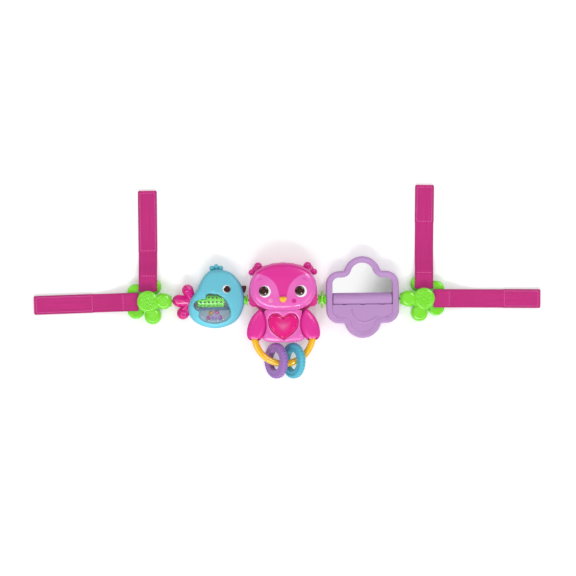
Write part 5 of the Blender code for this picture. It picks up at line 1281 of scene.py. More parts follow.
# %% Bird crest, beak and eye
CREST = [(-0.075, 0.546, 0.048), (0.005, 0.573, 0.048), (0.088, 0.546, 0.047)]
BIRD_BEAK = [
    (-55.5, 18.9), (-54.0, 19.5), (-49.4, 19.5), (-48.3, 18.4), (-48.6, 15.2), (-49.8, 11.2), (-51.0, 9.6),
    (-52.3, 10.6), (-54.2, 13.8),
]
BIRD_EYE = BIRD_PLACE + Vector((0.192 * BIRD_SIZE[0], 0.183 * BIRD_SIZE[1]))
BIRD_EYE_RADIUS = 6.1 * MM
BIRD_PUPIL = Vector((0.7, -0.3)) * MM
BIRD_PUPIL_RADIUS = 4.6 * MM
BIRD_LIGHT = Vector((-3.1, 3.0)) * MM


def make_bird_face():
    """The crest, the beak and the eye."""
    bumps = []
    for x, y, share in CREST:
        place = BIRD_PLACE + Vector((x * BIRD_SIZE[0], y * BIRD_SIZE[1]))
        radius = share * BIRD_SIZE[0] * 0.94
        bumps.append(ball(radius, Vector((place.x, place.y, CORD_HEIGHT + 1.5 * MM)), 24, 16, 1.5))
        bumps.append(cylinder(radius * 0.8, 7 * MM, Vector((place.x, place.y - 4.5 * MM, CORD_HEIGHT + MM)), (0, 1, 0)))
    fused("bird_crest", merged(*bumps), BLUE_PLASTIC, "bird", 0.35 * MM, 8)

    outline = smooth_curve([(x * MM, y * MM) for x, y in BIRD_BEAK], 4)
    low, high, middle, size = box_of("bird_beak")
    beak_shape = plump(outline, (-51.5 * MM, 15.5 * MM), middle.z, size.z / 2 - 0.2 * MM, count=64)
    beak = finish_piece("bird_beak_cushion", beak_shape, BEAK_DARK, "bird")
    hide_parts("bird_beak")

    top = box_of("bird_eye")[1].z
    white = dome(BIRD_EYE_RADIUS, top - 3.0 * MM, top - 1.3 * MM, top - 0.4 * MM, BIRD_EYE)
    eye = finish_piece("bird_eye_white", white, WHITE_ENAMEL, "bird")
    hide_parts("bird_eye")
    pupil = dome(BIRD_PUPIL_RADIUS, top - 1.0 * MM, top - 0.6 * MM, top + 0.5 * MM, BIRD_EYE + BIRD_PUPIL)
    finish_piece("bird_pupil", pupil, BROWN_ENAMEL, "bird")
    light = dome(1.3 * MM, top - 0.7 * MM, top - 0.1 * MM, top + 0.3 * MM, BIRD_EYE + BIRD_LIGHT, 24)
    finish_piece("bird_eye_light", light, WHITE_ENAMEL, "bird")


make_bird_face()

# %% Bird tail
TAIL_ROOT = (-0.425, -0.030)
TAIL_LOBES = [(-0.516, 0.175, 0.104), (-0.677, -0.008, 0.115), (-0.604, -0.226, 0.112)]
RIB_HALF = 1.0 * MM
RIB_RISE = 1.7 * MM
TAIL_CURL = [(-131.5 + 3.3 * math.cos(a), -16.5 + 3.3 * math.sin(a)) for a in np.linspace(0.6, 5.2, 9)]
TAIL_RIBS = [
    [(-133.0, 17.5, -124.0, 13.0), (-130.0, 21.0, -121.0, 16.5)],
    [(-147.0, 1.5, -130.0, 0.4)],
    [(*start, *end) for start, end in zip(TAIL_CURL, TAIL_CURL[1:])],
]


def distance_to_line(place, line):
    """How far a place is from a straight stroke, given in millimetres."""
    start, end = Vector(line[:2]) * MM, Vector(line[2:]) * MM
    step = end - start
    share = min(max((Vector(place) - start).dot(step) / step.length_squared, 0.0), 1.0)
    return (Vector(place) - start - step * share).length


def make_tail():
    """Three teardrop lobes that meet at the root, with ribs on their fronts."""
    root = BIRD_PLACE + Vector((TAIL_ROOT[0] * BIRD_SIZE[0], TAIL_ROOT[1] * BIRD_SIZE[1]))
    lobes = []
    for (x, y, share), ribs in zip(TAIL_LOBES, TAIL_RIBS):
        middle = BIRD_PLACE + Vector((x * BIRD_SIZE[0], y * BIRD_SIZE[1]))
        radius = share * BIRD_SIZE[0]
        away = (middle - root).normalized()
        side = away.orthogonal()
        outline = [root + side * radius * 0.55, root - side * radius * 0.55]
        for step in range(13):
            turn = math.radians(-96.0 + step * 16.0)
            outline.append(middle + (away * math.cos(turn) + side * math.sin(turn)) * radius)
        outline = smooth_curve(turned_left(outline), 3)

        def ribbed(px, py, ribs=ribs):
            rise = 0.0
            for rib in ribs:
                rise = max(rise, math.exp(-((distance_to_line((px, py), rib) / RIB_HALF) ** 2)))
            return RIB_RISE * rise

        lobes.append(plump(outline, root.lerp(middle, 0.75), CORD_HEIGHT, radius * 0.86, ribbed))
    low = box_of("bird_tail")[0]
    tail = fused("tail_lobes", merged(*lobes), TAIL_PLASTIC, "bird", 0.35 * MM, 2)
    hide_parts("bird_tail")
    print("tail:", len(tail.data.polygons), "faces, lowest CAD corner at", round(low.z * 1000, 1), "mm")


make_tail()

# %% [markdown]
# ## Spacers
# Small green turned pieces sit on the cord beside the owl: a dome with a flange on the bird's side, and two
# flanges with a loose disc between them on the cloud's side.

# %% Spacers and the loose disc
def rounded_profile(bore, radius, low, high, edge, steps=4):
    """A turned disc with rounded corners, from its bore outwards and back."""
    points = [(bore, high)]
    for corner, start in (((radius - edge, high - edge), 90.0), ((radius - edge, low + edge), 0.0)):
        for step in range(steps + 1):
            turn = math.radians(start - 90.0 * step / steps)
            points.append((corner[0] + edge * math.cos(turn), corner[1] + edge * math.sin(turn)))
    return points + [(bore, low), (bore, high)]


SPACER_BORE = 2.3 * MM


def make_spacers():
    """The dome and the two flanges, and the disc that slides between them."""
    low, high, middle, size = box_of("left_spacer")
    profile = [(SPACER_BORE, 0.0), (3.2 * MM, 0.0)]
    for step in range(1, 10):
        turn = math.radians(step * 10.0)
        profile.append(((2.6 + 3.2 * math.sin(turn)) * MM, (2.9 - 2.9 * math.cos(turn)) * MM))
    profile += [(5.9 * MM, 4.2 * MM), (5.5 * MM, 4.7 * MM), (3.6 * MM, 4.9 * MM), (3.6 * MM, 5.7 * MM)]
    profile += [(7.4 * MM, 5.8 * MM), (7.8 * MM, 6.2 * MM), (7.8 * MM, 7.0 * MM), (7.4 * MM, 7.4 * MM)]
    profile += [(SPACER_BORE, 7.4 * MM), (SPACER_BORE, 0.0)]
    dome_piece = finish_piece(
        "left_spacer_dome", lathe(profile, Vector((low.x, 0, CORD_HEIGHT)), (1, 0, 0), 56), GREEN_PLASTIC, "left_spacer"
    )
    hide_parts("left_spacer")

    low, high, middle, size = box_of("right_spacer")
    half = size.x / 2
    flange, thick, hub, edge = 6.7 * MM, 2.1 * MM, 5.0 * MM, 0.7 * MM
    profile = [(SPACER_BORE, half), (flange - edge, half), (flange, half - edge), (flange, half - thick + edge)]
    profile += [(flange - edge, half - thick), (hub, half - thick)]
    profile += [(radius, -along) for radius, along in reversed(profile)]
    profile.append((SPACER_BORE, half))
    shape = lathe(profile, Vector((middle.x, 0, CORD_HEIGHT)), (1, 0, 0), 56)
    hub_piece = finish_piece("right_spacer_spool", shape, GREEN_PLASTIC, "right_spacer")
    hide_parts("right_spacer")

    low, high, middle, size = box_of("clacker_disc")
    profile = rounded_profile(hub + 0.4 * MM, size.y / 2, -size.x / 2, size.x / 2, 1.2 * MM)
    disc = finish_piece(
        "clacker_ring", lathe(profile, Vector((middle.x, 0, CORD_HEIGHT)), (1, 0, 0), 64), GREEN_PLASTIC, "clacker"
    )
    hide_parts("clacker_disc")


make_spacers()

# %% [markdown]
# ## The flower clips
# Each clip is a flower of five petals round a disc. The petal towards the toys and one below it stand as high
# as the disc, and the other three lie low, so that the straps can pass over them. All of it flows together in
# the photograph, so the puffs are fused. Where a strap goes in below the disc, a mouth is cut for it.

# %% Flower clips
CLIP_DISC = 14.0 * MM
PETAL_REACH = 20.4 * MM
PETAL_RADIUS = 11.1 * MM
PETAL_TURN = 72.0
CLIP_REAR = 10.4 * MM
CLIP_TOP = 25.0 * MM
PETAL_TOP = 23.6 * MM
HIGH_PETALS = (0, 4)
CLIPS = {"left": (-1, -178.32 * MM), "right": (1, 185.72 * MM)}
COLLAR_LENGTH = 6.2 * MM
COLLAR_RADIUS = 7.9 * MM
MOUTH_LEVELS = (10.9 * MM, 17.6 * MM)
MOUTH_HALF = 13.2 * MM
BUMP_RINGS = [(8.8 * MM, 10, 1.5 * MM), (5.0 * MM, 6, 1.5 * MM), (0.0, 1, 1.9 * MM)]
STRAP_TILTS = {"left_upper": 0.0, "left_outer": 1.4, "right_upper": -1.3, "right_outer": -0.85}


def puff(radius, low, high, rounding, place, steps=40):
    """A round cushion between two heights."""
    points = [(0.0, high)]
    for corner, start in ((high - rounding, 90.0), (low + rounding, 0.0)):
        for step in range(7):
            turn = math.radians(start - 15.0 * step)
            points.append((radius - rounding + rounding * math.cos(turn), corner + rounding * math.sin(turn)))
    points.append((0.0, low))
    return lathe(points, Vector((place[0], place[1], 0.0)), (0, 0, 1), steps)


def petal_middle(side, clip_x, index):
    """The middle of a petal, counted round from the one that faces the toys."""
    turn = math.radians(PETAL_TURN * index)
    return Vector((clip_x - side * PETAL_REACH * math.cos(turn), PETAL_REACH * math.sin(turn)))


def strap_frame(name, side, clip_x):
    """Turns (distance from the disc, height, across) into the toy's frame."""
    if name.endswith("upper"):
        columns = ((0, 1, 0), (0, 0, 1), (1, 0, 0))
    else:
        columns = ((side, 0, 0), (0, 0, 1), (0, -side, 0))
    turn = Matrix.Rotation(math.radians(STRAP_TILTS[name]), 4, "Z")
    return Matrix.Translation((clip_x, 0.0, 0.0)) @ turn @ Matrix(columns).transposed().to_4x4()


def make_clip(word, side, clip_x):
    """The high layer as one fused flower, smooth low petals, the bumps on the disc and the ribbed collar."""
    shapes = [puff(CLIP_DISC, CLIP_REAR, CLIP_TOP, 3.4 * MM, (clip_x, 0.0))]
    for index in HIGH_PETALS:
        middle = petal_middle(side, clip_x, index)
        shapes.append(puff(PETAL_RADIUS, CLIP_REAR, PETAL_TOP, 5.6 * MM, middle))
        bridge = Vector((clip_x, 0.0)).lerp(middle, 0.55)
        shapes.append(puff(PETAL_RADIUS * 0.86, CLIP_REAR + MM, PETAL_TOP - 1.4 * MM, 4.5 * MM, bridge))
    flower = fused(f"{word}_clip_flower", merged(*shapes), GREEN_PLASTIC, f"{word}_clip", 0.5 * MM, 5, 0.6)
    low, high = MOUTH_LEVELS
    for strap in ("upper", "outer"):
        mouth = block(Vector((20.0 * MM, (low + high) / 2, 0.0)), Vector((11.0 * MM, (high - low) / 2, MOUTH_HALF)))
        frame_of_strap = strap_frame(f"{word}_{strap}", side, clip_x)
        bmesh.ops.transform(mouth, matrix=frame_of_strap, verts=mouth.verts)
        if frame_of_strap.determinant() < 0:
            bmesh.ops.reverse_faces(mouth, faces=mouth.faces)
        cut_by(flower, mouth, "DIFFERENCE")
    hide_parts(f"{word}_clip_front")

    rear = []
    for index in range(5):
        middle = petal_middle(side, clip_x, index)
        rear.append(puff(PETAL_RADIUS + 0.06 * MM, 0.5 * MM, CLIP_REAR - 0.1 * MM, 3.2 * MM, middle))
    petals = finish_piece(f"{word}_clip_petals", merged(*rear), GREEN_PLASTIC, f"{word}_clip")

    bumps = []
    for reach, count, radius in BUMP_RINGS:
        for index in range(count):
            turn = 2 * math.pi * (index + 0.3) / count
            place = Vector((clip_x + reach * math.cos(turn), reach * math.sin(turn), CLIP_TOP + 0.1 * MM))
            bumps.append(ball(radius, place, 20, 12, 0.55))
    beads = finish_piece(f"{word}_clip_bumps", merged(*bumps), GREEN_PLASTIC, f"{word}_clip")

    tip = clip_x - side * (PETAL_REACH + PETAL_RADIUS)
    profile = [(2.4 * MM, 0.0), (COLLAR_RADIUS - 0.8 * MM, 0.0)]
    for step in range(1, 24):
        along = step / 24
        rib = 0.55 * MM * math.cos(4 * math.pi * along)
        profile.append((COLLAR_RADIUS - 0.6 * MM - rib, along * COLLAR_LENGTH))
    profile += [(COLLAR_RADIUS - 0.8 * MM, COLLAR_LENGTH), (2.4 * MM, COLLAR_LENGTH), (2.4 * MM, 0.0)]
    start = Vector((tip, 0.0, CORD_HEIGHT))
    collar_shape = lathe(profile, start, (side, 0, 0), 56)
    collar = finish_piece(f"{word}_clip_collar", collar_shape, GREEN_PLASTIC, f"{word}_clip")


for clip_word, clip_values in CLIPS.items():
    make_clip(clip_word, *clip_values)
print("clips done")

# %% [markdown]
# ## The webbing straps
# The straps are woven polyester webbing, doubled over and sewn. Each is a strip with rounded edges along the
# route that the CAD strap takes, so it drapes over the petals and comes down to the surface. Its UV map is in
# metres, along and across, so that the weave has its true size. The stitches are small threads that lie in
# a slight furrow, and the strip puckers a little on both sides of each seam.

# %% Woven webbing
STRAP_HALF = 12.5 * MM
STRAP_THICK = 2.6 * MM


def make_weave_group():
    """Yarns that cross, lengthwise streaks and darker edges, on a UV map in metres."""
    group = bpy.data.node_groups.new("woven_webbing", "ShaderNodeTree")
    for name, kind, value in (
        ("Colour", "NodeSocketColor", (0.5, 0.1, 0.3, 1.0)),
        ("Yarn Length", "NodeSocketFloat", 0.0016),
        ("Yarn Width", "NodeSocketFloat", 0.0008),
        ("Half Width", "NodeSocketFloat", STRAP_HALF),
    ):
        group.interface.new_socket(name, in_out="INPUT", socket_type=kind).default_value = value
    for name, kind in (("Colour", "NodeSocketColor"), ("Roughness", "NodeSocketFloat"), ("Height", "NodeSocketFloat")):
        group.interface.new_socket(name, in_out="OUTPUT", socket_type=kind)
    entry = group.nodes.new("NodeGroupInput")
    leave = group.nodes.new("NodeGroupOutput")
    flat = group.nodes.new("ShaderNodeUVMap")
    parts = group.nodes.new("ShaderNodeSeparateXYZ")
    group.links.new(flat.outputs[0], parts.inputs[0])
    along = math_node(group, "DIVIDE", parts.outputs["X"], entry.outputs["Yarn Length"])
    across = math_node(group, "DIVIDE", parts.outputs["Y"], entry.outputs["Yarn Width"])
    column = math_node(group, "FLOOR", across)
    shift = math_node(group, "MULTIPLY", column, 0.5)
    float_wave = math_node(group, "SINE", math_node(group, "MULTIPLY", math_node(group, "ADD", along, shift), 2 * math.pi))
    yarn = math_node(group, "SINE", math_node(group, "MULTIPLY", math_node(group, "FRACT", across), math.pi))
    height = math_node(group, "MULTIPLY", yarn, math_node(group, "MULTIPLY_ADD", float_wave, 0.35, 0.65))
    group.links.new(height, leave.inputs["Height"])
    stretch = add_node(group, "ShaderNodeMapping")
    stretch.inputs["Scale"].default_value = (14.0, 520.0, 1.0)
    streak = add_node(group, "ShaderNodeTexNoise", Scale=1.0, Detail=3.0)
    group.links.new(flat.outputs[0], stretch.inputs["Vector"])
    group.links.new(stretch.outputs[0], streak.inputs["Vector"])
    from_edge = math_node(group, "DIVIDE", math_node(group, "ABSOLUTE", parts.outputs["Y"]), entry.outputs["Half Width"])
    edge = math_node(group, "POWER", from_edge, 9.0)
    value = math_node(group, "MULTIPLY_ADD", math_node(group, "SUBTRACT", streak.outputs[0], 0.5), 0.55, 0.86)
    value = math_node(group, "MULTIPLY_ADD", height, 0.22, value)
    value = math_node(group, "MULTIPLY_ADD", edge, -0.28, value)
    shade = group.nodes.new("ShaderNodeHueSaturation")
    group.links.new(entry.outputs["Colour"], shade.inputs["Color"])
    group.links.new(value, shade.inputs["Value"])
    group.links.new(shade.outputs[0], leave.inputs["Colour"])
    group.links.new(math_node(group, "MULTIPLY_ADD", height, -0.12, 0.74), leave.inputs["Roughness"])
    return group


WEAVE = make_weave_group()


def webbing_material(name, colour, yarn_length=1.6 * MM, yarn_width=0.8 * MM):
    """Polyester webbing of one colour."""
    material, tree, shader = new_material(name)
    skin_node = tree.nodes.new("ShaderNodeGroup")
    skin_node.node_tree = WEAVE
    skin_node.inputs["Colour"].default_value = colour
    skin_node.inputs["Yarn Length"].default_value = yarn_length
    skin_node.inputs["Yarn Width"].default_value = yarn_width
    link_skin(tree, shader, skin_node, 0.18 * MM)
    shader.inputs["Sheen Weight"].default_value = 0.06
    shader.inputs["Sheen Roughness"].default_value = 0.4
    return material


WEBBING = webbing_material("magenta_webbing", WEBBING_PINK)
THREAD = moulded("stitch_thread", screen(234, 116, 184), 0.6, 0.0, 0.25, 0.00008)

# %% Straps
STRAP_LENGTHS = {"left_upper": 146.4, "left_outer": 151.7, "right_upper": 150.1, "right_outer": 154.8}
STRAP_SEAMS = {
    "left_upper": (33.5, 66.0),
    "left_outer": (33.0, 73.5),
    "right_upper": (34.0, 101.0),
    "right_outer": (33.5, 106.0),
}
PATCHED = ("left_outer", "right_outer")
SEAM_INSET = 2.6 * MM
STITCH_LENGTH = 2.1 * MM
STITCH_PITCH = 2.9 * MM
STITCH_RADIUS = 0.34 * MM
PUCKER = 0.30 * MM


def strap_levels(length, patched):
    """The strap's middle line over the petals and down to the surface, as (distance, height) points."""
    half = STRAP_THICK / 2
    over = CLIP_REAR + 0.3 * MM + half
    floor_level = half + (1.5 * MM if patched else 0.0)
    edge = PETAL_REACH + PETAL_RADIUS
    down, bend, mouth = edge * 2.1, edge * 0.15, CLIP_DISC + 0.3 * MM
    return [
        (mouth - 1.5 * MM, 14.1 * MM - half / 2), (mouth + bend, over + half / 2), (edge * 0.8, over),
        (edge, over - half / 4), (edge + bend, over - half), ((edge + down) / 2, (over + floor_level) / 2 - half),
        (down - bend, floor_level + half * 0.8), (down, floor_level + half / 5), (down + bend, floor_level),
        (length, floor_level),
    ]


def sampled(route, pitch):
    """Points every pitch along a smooth curve through the route, with the distance along it."""
    fine = []
    for index in range(len(route) - 1):
        before = Vector(route[max(index - 1, 0)])
        start, end = Vector(route[index]), Vector(route[index + 1])
        after = Vector(route[min(index + 2, len(route) - 1)])
        reach = (end - start).length
        into = (end - before).normalized() * reach
        out = (after - start).normalized() * reach
        for step in range(12):
            t = step / 12
            ease = 3 * t * t - 2 * t**3
            fine.append(start * (1 - ease) + end * ease + into * (t - 2 * t * t + t**3) + out * (t**3 - t * t))
    fine.append(Vector(route[-1]))
    lengths = np.concatenate(([0.0], np.cumsum([(b - a).length for a, b in zip(fine, fine[1:])])))
    marks = np.arange(0.0, lengths[-1], pitch)
    marks = np.append(marks, lengths[-1])
    xs = np.interp(marks, lengths, [p.x for p in fine])
    ys = np.interp(marks, lengths, [p.y for p in fine])
    return [(Vector((float(x), float(y))), float(mark)) for x, y, mark in zip(xs, ys, marks)]


def strip_section(half_width, half_thick, steps=5, across=14):
    """Points round a flat strip with rounded edges, as (across, height)."""
    points = []
    for side, start in ((1, 90.0), (-1, 270.0)):
        for step in range(across):
            points.append((side * (2 * step / across - 1) * (half_width - half_thick), side * half_thick))
        for step in range(steps + 1):
            turn = math.radians(start - 180.0 * step / steps)
            points.append((side * (half_width - half_thick) + half_thick * math.cos(turn), half_thick * math.sin(turn)))
    return points


def make_strap(name, side, clip_x):
    """One strap with its weave, seams and stitches."""
    place = strap_frame(name, side, clip_x)
    length = STRAP_LENGTHS[name] * MM
    near, far = (value * MM for value in STRAP_SEAMS[name])
    track = sampled(strap_levels(length, name in PATCHED), 1.0 * MM)
    rows, marks = [], []
    for index, (spot, mark) in enumerate(track):
        before, after = track[max(index - 1, 0)][0], track[min(index + 1, len(track) - 1)][0]
        along = (after - before).normalized()
        normal = Vector((-along.y, along.x))
        doubled = 1.0 if spot.x > far else 0.0
        pucker = sum(math.exp(-(((spot.x - seam) / (1.6 * MM)) ** 2)) for seam in (near, far))
        half_thick = STRAP_THICK / 2 - (0.0 if doubled else 0.35 * MM) - PUCKER * pucker
        end = max(0.0, (spot.x - (length - 2.0 * MM)) / (2.0 * MM))
        half_width = STRAP_HALF - (0.0 if doubled else 0.3 * MM) - 1.2 * MM * end**3
        row = []
        for across, height in strip_section(half_width, half_thick):
            ripple = 0.12 * MM * math.sin(across * 420.0) * pucker
            lifted = spot + normal * (height + ripple - (0.0 if doubled else 0.35 * MM))
            row.append(place @ Vector((lifted.x, lifted.y, across)))
            marks.append((mark, across))
        rows.append(row)
    shape = loft(rows)
    shape.verts.index_update()
    found = {tuple(round(c, 7) for c in point): spot for point, spot in zip([p for row in rows for p in row], marks)}
    layer = shape.loops.layers.uv.new("webbing")
    for face in shape.faces:
        for loop in face.loops:
            loop[layer].uv = found[tuple(round(c, 7) for c in loop.vert.co)]
    strap = finish_piece(f"{name}_webbing", shape, WEBBING, f"{name}_strap", 60.0)
    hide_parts(f"{name}_strap")
    make_stitches(name, place, track, near, far, length)


def make_stitches(name, place, track, near, far, length):
    """Rows of thread across the two seams and round the sewn box at the end."""
    spots = np.array([point.x for point, mark in track])
    heights = np.array([point.y for point, mark in track])
    wide = STRAP_HALF - SEAM_INSET
    lines = [((near, -wide), (near, wide)), ((far + MM, -wide), (far + MM, wide))]
    end = length - 3.2 * MM
    lines += [((end, -wide), (end, wide)), ((far + MM, -wide), (end, -wide)), ((far + MM, wide), (end, wide))]
    threads = []
    for start, stop in lines:
        start, stop = Vector(start), Vector(stop)
        count = max(2, int((stop - start).length / STITCH_PITCH))
        way = (stop - start).normalized()
        for index in range(count):
            middle = start.lerp(stop, (index + 0.5) / count)
            top = STRAP_THICK / 2 - (0.15 * MM if middle.x > far else 0.95 * MM)
            path = []
            for step in range(5):
                share = step / 4 - 0.5
                spot = middle + way * share * STITCH_LENGTH
                level = float(np.interp(spot.x, spots, heights)) + top + 0.14 * MM * math.cos(share * math.pi)
                path.append(place @ Vector((spot.x, level, spot.y)))
            threads.append(sweep(path, STITCH_RADIUS, 6))
    piece = finish_piece(f"{name}_stitches", merged(*threads), THREAD, f"{name}_strap")
    print(name, "stitches:", len(threads))


for clip_word, (clip_side, clip_place) in CLIPS.items():
    for strap_word in ("upper", "outer"):
        make_strap(f"{clip_word}_{strap_word}", clip_side, clip_place)

# %% [markdown]
# ## The cloud
# The cloud has a raised border with a soft ridge near its outer edge, a mirror in its upper half, a ribbed
# roller on the cord across its middle, and a plate with moulded curls below. The border is lofted through
# the same outline at several distances from the edge, so its corners stay crisp.

# %% Cloud outline
CLOUD_X = 104.72 * MM
CLOUD_RISE = 2.5 * MM
CLOUD_WIDTH = 95.8 * MM
CLOUD_HEIGHT = 107.8 * MM
CLOUD_LOBE = 24.2 * MM
CLOUD_CORNER = 17.2 * MM
CLOUD_SHOULDER = 34.5 * MM
CLOUD_FILLET = 3.5 * MM
CLOUD_BORDER = 8.4 * MM
CLOUD_TOP = box_of("cloud_frame")[1].z
CLOUD_LOW = box_of("cloud_frame")[0].z


def arc(middle, radius, start, end, steps):
    """Points along an arc, with its angles in degrees."""
    turns = [math.radians(start + (end - start) * step / steps) for step in range(steps + 1)]
    return [(middle[0] + radius * math.cos(turn), middle[1] + radius * math.sin(turn)) for turn in turns]


def cloud_outline(gap):
    """The cloud, moved in by a gap: a rounded block with a round lobe above and below."""
    half_width, shoulder = CLOUD_WIDTH / 2 - gap, CLOUD_SHOULDER - gap
    corner, lobe, fillet = CLOUD_CORNER - gap, CLOUD_LOBE - gap, CLOUD_FILLET + gap
    lobe_y, fillet_y = CLOUD_HEIGHT / 2 - CLOUD_LOBE, shoulder + fillet
    fillet_x = math.sqrt((lobe + fillet) ** 2 - (fillet_y - lobe_y) ** 2)
    meeting = math.degrees(math.atan2(fillet_y - lobe_y, fillet_x))
    right = arc((half_width - corner, shoulder - corner), corner, 0.0, 90.0, 24)
    right += arc((fillet_x, fillet_y), fillet, -90.0, meeting - 180.0, 12)
    upper = right + arc((0.0, lobe_y), lobe, meeting, 180.0 - meeting, 60)[1:-1]
    upper += [(-x, y) for x, y in reversed(right)]
    whole = upper + [(-x, -y) for x, y in upper]
    return [(CLOUD_X + x, CLOUD_RISE + y) for x, y in whole]


# %% Cloud border
BORDER_PROFILE = [
    (0.0, -10.7), (0.0, -3.2), (0.15, -2.2), (0.5, -1.3), (1.1, -0.6), (1.9, -0.15), (2.8, 0.0), (3.8, -0.15),
    (5.0, -0.6), (6.4, -0.9), (7.6, -1.0), (8.1, -1.25), (8.35, -1.8), (8.4, -2.6), (8.4, -10.7),
]


def make_border():
    """The border ring from its seam over the ridge to its inner wall."""
    rings = [ring_at(cloud_outline(gap * MM), CLOUD_TOP + drop * MM) for gap, drop in BORDER_PROFILE]
    border = finish_piece("cloud_border", loft(rings, closed=True), LILAC_PLASTIC, "cloud")
    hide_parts("cloud_frame")


make_border()

# %% Cloud plate
ROLLER_RADIUS = 8.4 * MM
PLATE_EDGE = -6.9 * MM
PLATE_GAP = CLOUD_BORDER - 0.35 * MM
PLATE_TOP = CLOUD_TOP - 0.95 * MM
PLATE_THICK = 1.0 * MM
PLATE_MIDDLE = (CLOUD_X, -18.0 * MM)
CURL_RISE = 1.15 * MM
CURL_HALF = 1.0 * MM
CURLS = [
    [(90.8, -14.5), (91.6, -19.0), (94.4, -24.6), (99.2, -28.8), (105.3, -30.6), (112.0, -29.8), (118.0, -27.3), (123.0, -24.2)],
    [(70.6, -21.2), (71.0, -24.2), (73.2, -27.0), (76.6, -28.3)],
    [(127.6, -27.4), (131.6, -27.8), (135.4, -25.8), (137.6, -22.2)],
]
SLOTS = [(78.4, 84.3), (102.0, 108.0), (128.3, 133.6)]
SLOT_DEPTH = 0.8 * MM


def distance_to_stroke(place, stroke):
    """How far a place is from an open line through points."""
    points = np.array(stroke) * MM
    steps = points[1:] - points[:-1]
    here = np.array(place) - points[:-1]
    share = np.clip((here * steps).sum(1) / (steps**2).sum(1), 0, 1)
    return float(np.sqrt(((here - steps * share[:, None]) ** 2).sum(1).min()))


def open_curve(points, steps=6):
    """A smooth open line through points."""
    ends = [points[0]] + points + [points[-1]]
    found = smooth_curve(ends, steps)
    return [tuple(place) for place in found[steps : -2 * steps]]


def make_plate():
    """The plate below the roller, with its curls and three slots in its upper edge."""
    lower = [(x, y) for x, y in cloud_outline(PLATE_GAP) if y < PLATE_EDGE - MM]
    left, right = lower[0][0], lower[-1][0]
    outline = [(left, PLATE_EDGE)] + lower + [(right, PLATE_EDGE)]
    curls = [open_curve(curl) for curl in CURLS]

    def height(x, y):
        near = min(distance_to_stroke((x, y), curl) for curl in curls)
        rise = CURL_RISE * math.exp(-((near / CURL_HALF) ** 2))
        return PLATE_TOP - round_off(distance_to(outline, (x, y)), 1.0 * MM, 0.8 * MM) + rise

    shape = swell(outline, PLATE_MIDDLE, PLATE_TOP - PLATE_THICK, height, count=220, rings=60, ease=1.0)
    plate = finish_piece("cloud_plate", shape, LILAC_PLASTIC, "cloud")
    for start, end in SLOTS:
        middle = Vector(((start + end) / 2 * MM, PLATE_EDGE, PLATE_TOP))
        half = Vector(((end - start) / 2 * MM, SLOT_DEPTH, 3 * MM))
        cut_by(plate, block(middle, half), "DIFFERENCE")
    print("cloud plate:", len(plate.data.polygons), "faces")


make_plate()

# %% Roller and mirror
ROLLER_HALF = 38.9 * MM
ROLLER_RIBS = 26
ROLLER_GROOVE = 0.12 * MM


def make_roller():
    """A roller with fine ribs along it and rounded ends."""
    rings = []
    for along, inset in ((-1.0, 1.2), (-0.985, 0.4), (-0.96, 0.0), (0.96, 0.0), (0.985, 0.4), (1.0, 1.2)):
        ring = []
        for step in range(ROLLER_RIBS * 8):
            turn = 2 * math.pi * step / (ROLLER_RIBS * 8)
            radius = ROLLER_RADIUS - inset * MM - ROLLER_GROOVE * (1 + math.cos(turn * ROLLER_RIBS)) ** 2 / 2
            x = CLOUD_X + along * ROLLER_HALF
            ring.append(Vector((x, radius * math.cos(turn), CORD_HEIGHT + radius * math.sin(turn))))
        rings.append(ring)
    roller = finish_piece("roller_ribbed", loft(rings), LILAC_PLASTIC, "roller")
    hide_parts("cloud_roller")


def make_mirror():
    """A flat sheet of mirrored plastic behind the border."""
    material, tree, shader = new_material("mirrored_sheet")
    skin_node = tree.nodes.new("ShaderNodeGroup")
    skin_node.node_tree = MOULDED
    for name, value in (("Drift", 0.03), ("Roughness", 0.03), ("Mottle", 0.03), ("Ripple Scale", 60.0)):
        skin_node.inputs[name].default_value = value
    skin_node.inputs["Colour"].default_value = (0.95, 0.95, 0.96, 1.0)
    link_skin(tree, shader, skin_node, 0.004 * MM)
    shader.inputs["Metallic"].default_value = 1.0
    low, high, middle, size = box_of("mirror")
    upper = [(x, y) for x, y in cloud_outline(CLOUD_BORDER - 1.6 * MM) if y > low.y]
    left, right = min(x for x, y in upper), max(x for x, y in upper)
    outline = [(right, low.y)] + upper + [(left, low.y)]
    sheet = finish_piece("mirror_sheet", prism(outline, low.z, high.z), material, "cloud")
    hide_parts("mirror")


make_roller()
make_mirror()

# %% [markdown]
# ## What the CAD model already shows well
# Screws, cells, the board, the speaker, the switch, the doors and the back shells keep their CAD form. They
# only need finishes: brushed steel, a green board, black and white plastic, webbing for the hook patches, cord
# fibre and the same plastics as the fronts.

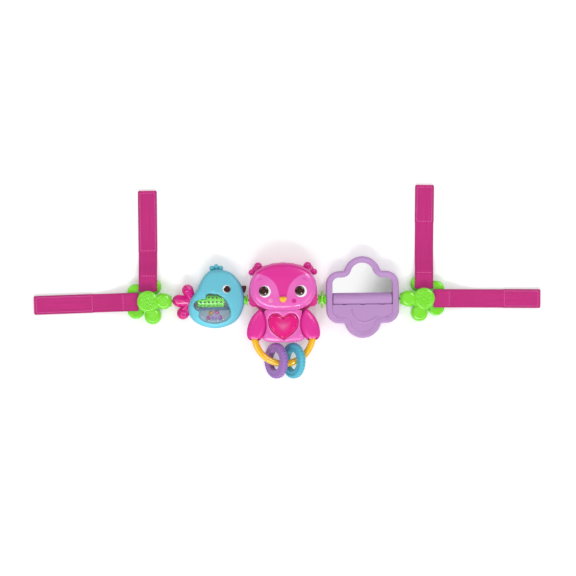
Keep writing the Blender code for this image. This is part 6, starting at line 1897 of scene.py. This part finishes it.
# %% Finishes of the CAD parts
def metal_finish(name, colour, roughness, scratch):
    """Metal with fine turned lines, from a stretched noise."""
    material, tree, shader = new_material(name)
    place = tree.nodes.new("ShaderNodeTexCoord")
    stretch = add_node(tree, "ShaderNodeMapping")
    stretch.inputs["Scale"].default_value = (300.0, 2600.0, 300.0)
    noise = add_node(tree, "ShaderNodeTexNoise", Scale=1.0, Detail=4.0)
    tree.links.new(place.outputs["Object"], stretch.inputs["Vector"])
    tree.links.new(stretch.outputs[0], noise.inputs["Vector"])
    bump = add_node(tree, "ShaderNodeBump", Strength=0.6, Distance=scratch)
    tree.links.new(noise.outputs[0], bump.inputs["Height"])
    tree.links.new(bump.outputs[0], shader.inputs["Normal"])
    rough = math_node(tree, "MULTIPLY_ADD", noise.outputs[0], 0.18, roughness)
    tree.links.new(rough, shader.inputs["Roughness"])
    shader.inputs["Base Color"].default_value = colour
    shader.inputs["Metallic"].default_value = 1.0
    return material


STEEL = metal_finish("screw_steel", (0.56, 0.57, 0.60, 1.0), 0.28, 0.01 * MM)
BOARD = moulded("circuit_board", screen(26, 92, 52), 0.35, 0.2, 0.20, 0.00004)
BLACK = moulded("black_plastic", screen(30, 30, 32), 0.45, 0.0, 0.30, 0.00004)
BACK_WHITE = moulded("white_plastic", EYE_WHITE, 0.4, 0.0, 0.04)
HOOKS = webbing_material("hook_patch", screen(150, 34, 100), 1.1 * MM, 1.1 * MM)
CORD_FIBRE = moulded("twisted_cord", screen(120, 200, 70), 0.6, 0.0, 0.35, 0.00015)
FINISHES = [
    ("screw", STEEL), ("button_cell", STEEL), ("circuit_board", BOARD), ("speaker", BLACK), ("switch", BACK_WHITE),
    ("battery_door", PEAK_PLASTIC), ("owl_rear_shell", PEAK_PLASTIC), ("bird_back", BLUE_PLASTIC),
    ("cloud_back", LILAC_PLASTIC), ("clip_back", GREEN_PLASTIC), ("hook_patch", HOOKS), ("cord", CORD_FIBRE),
]


def finish_cad_parts():
    """Gives each CAD node that is still shown the first finish whose word is in its name."""
    left = []
    for name, node in NODES.items():
        if node.hide_render:
            continue
        fitting = next((material for word, material in FINISHES if word in name), None)
        if fitting is None:
            left.append(name)
            continue
        node.data.materials.clear()
        node.data.materials.append(fitting)
    print("CAD nodes without a finish:", left)


finish_cad_parts()
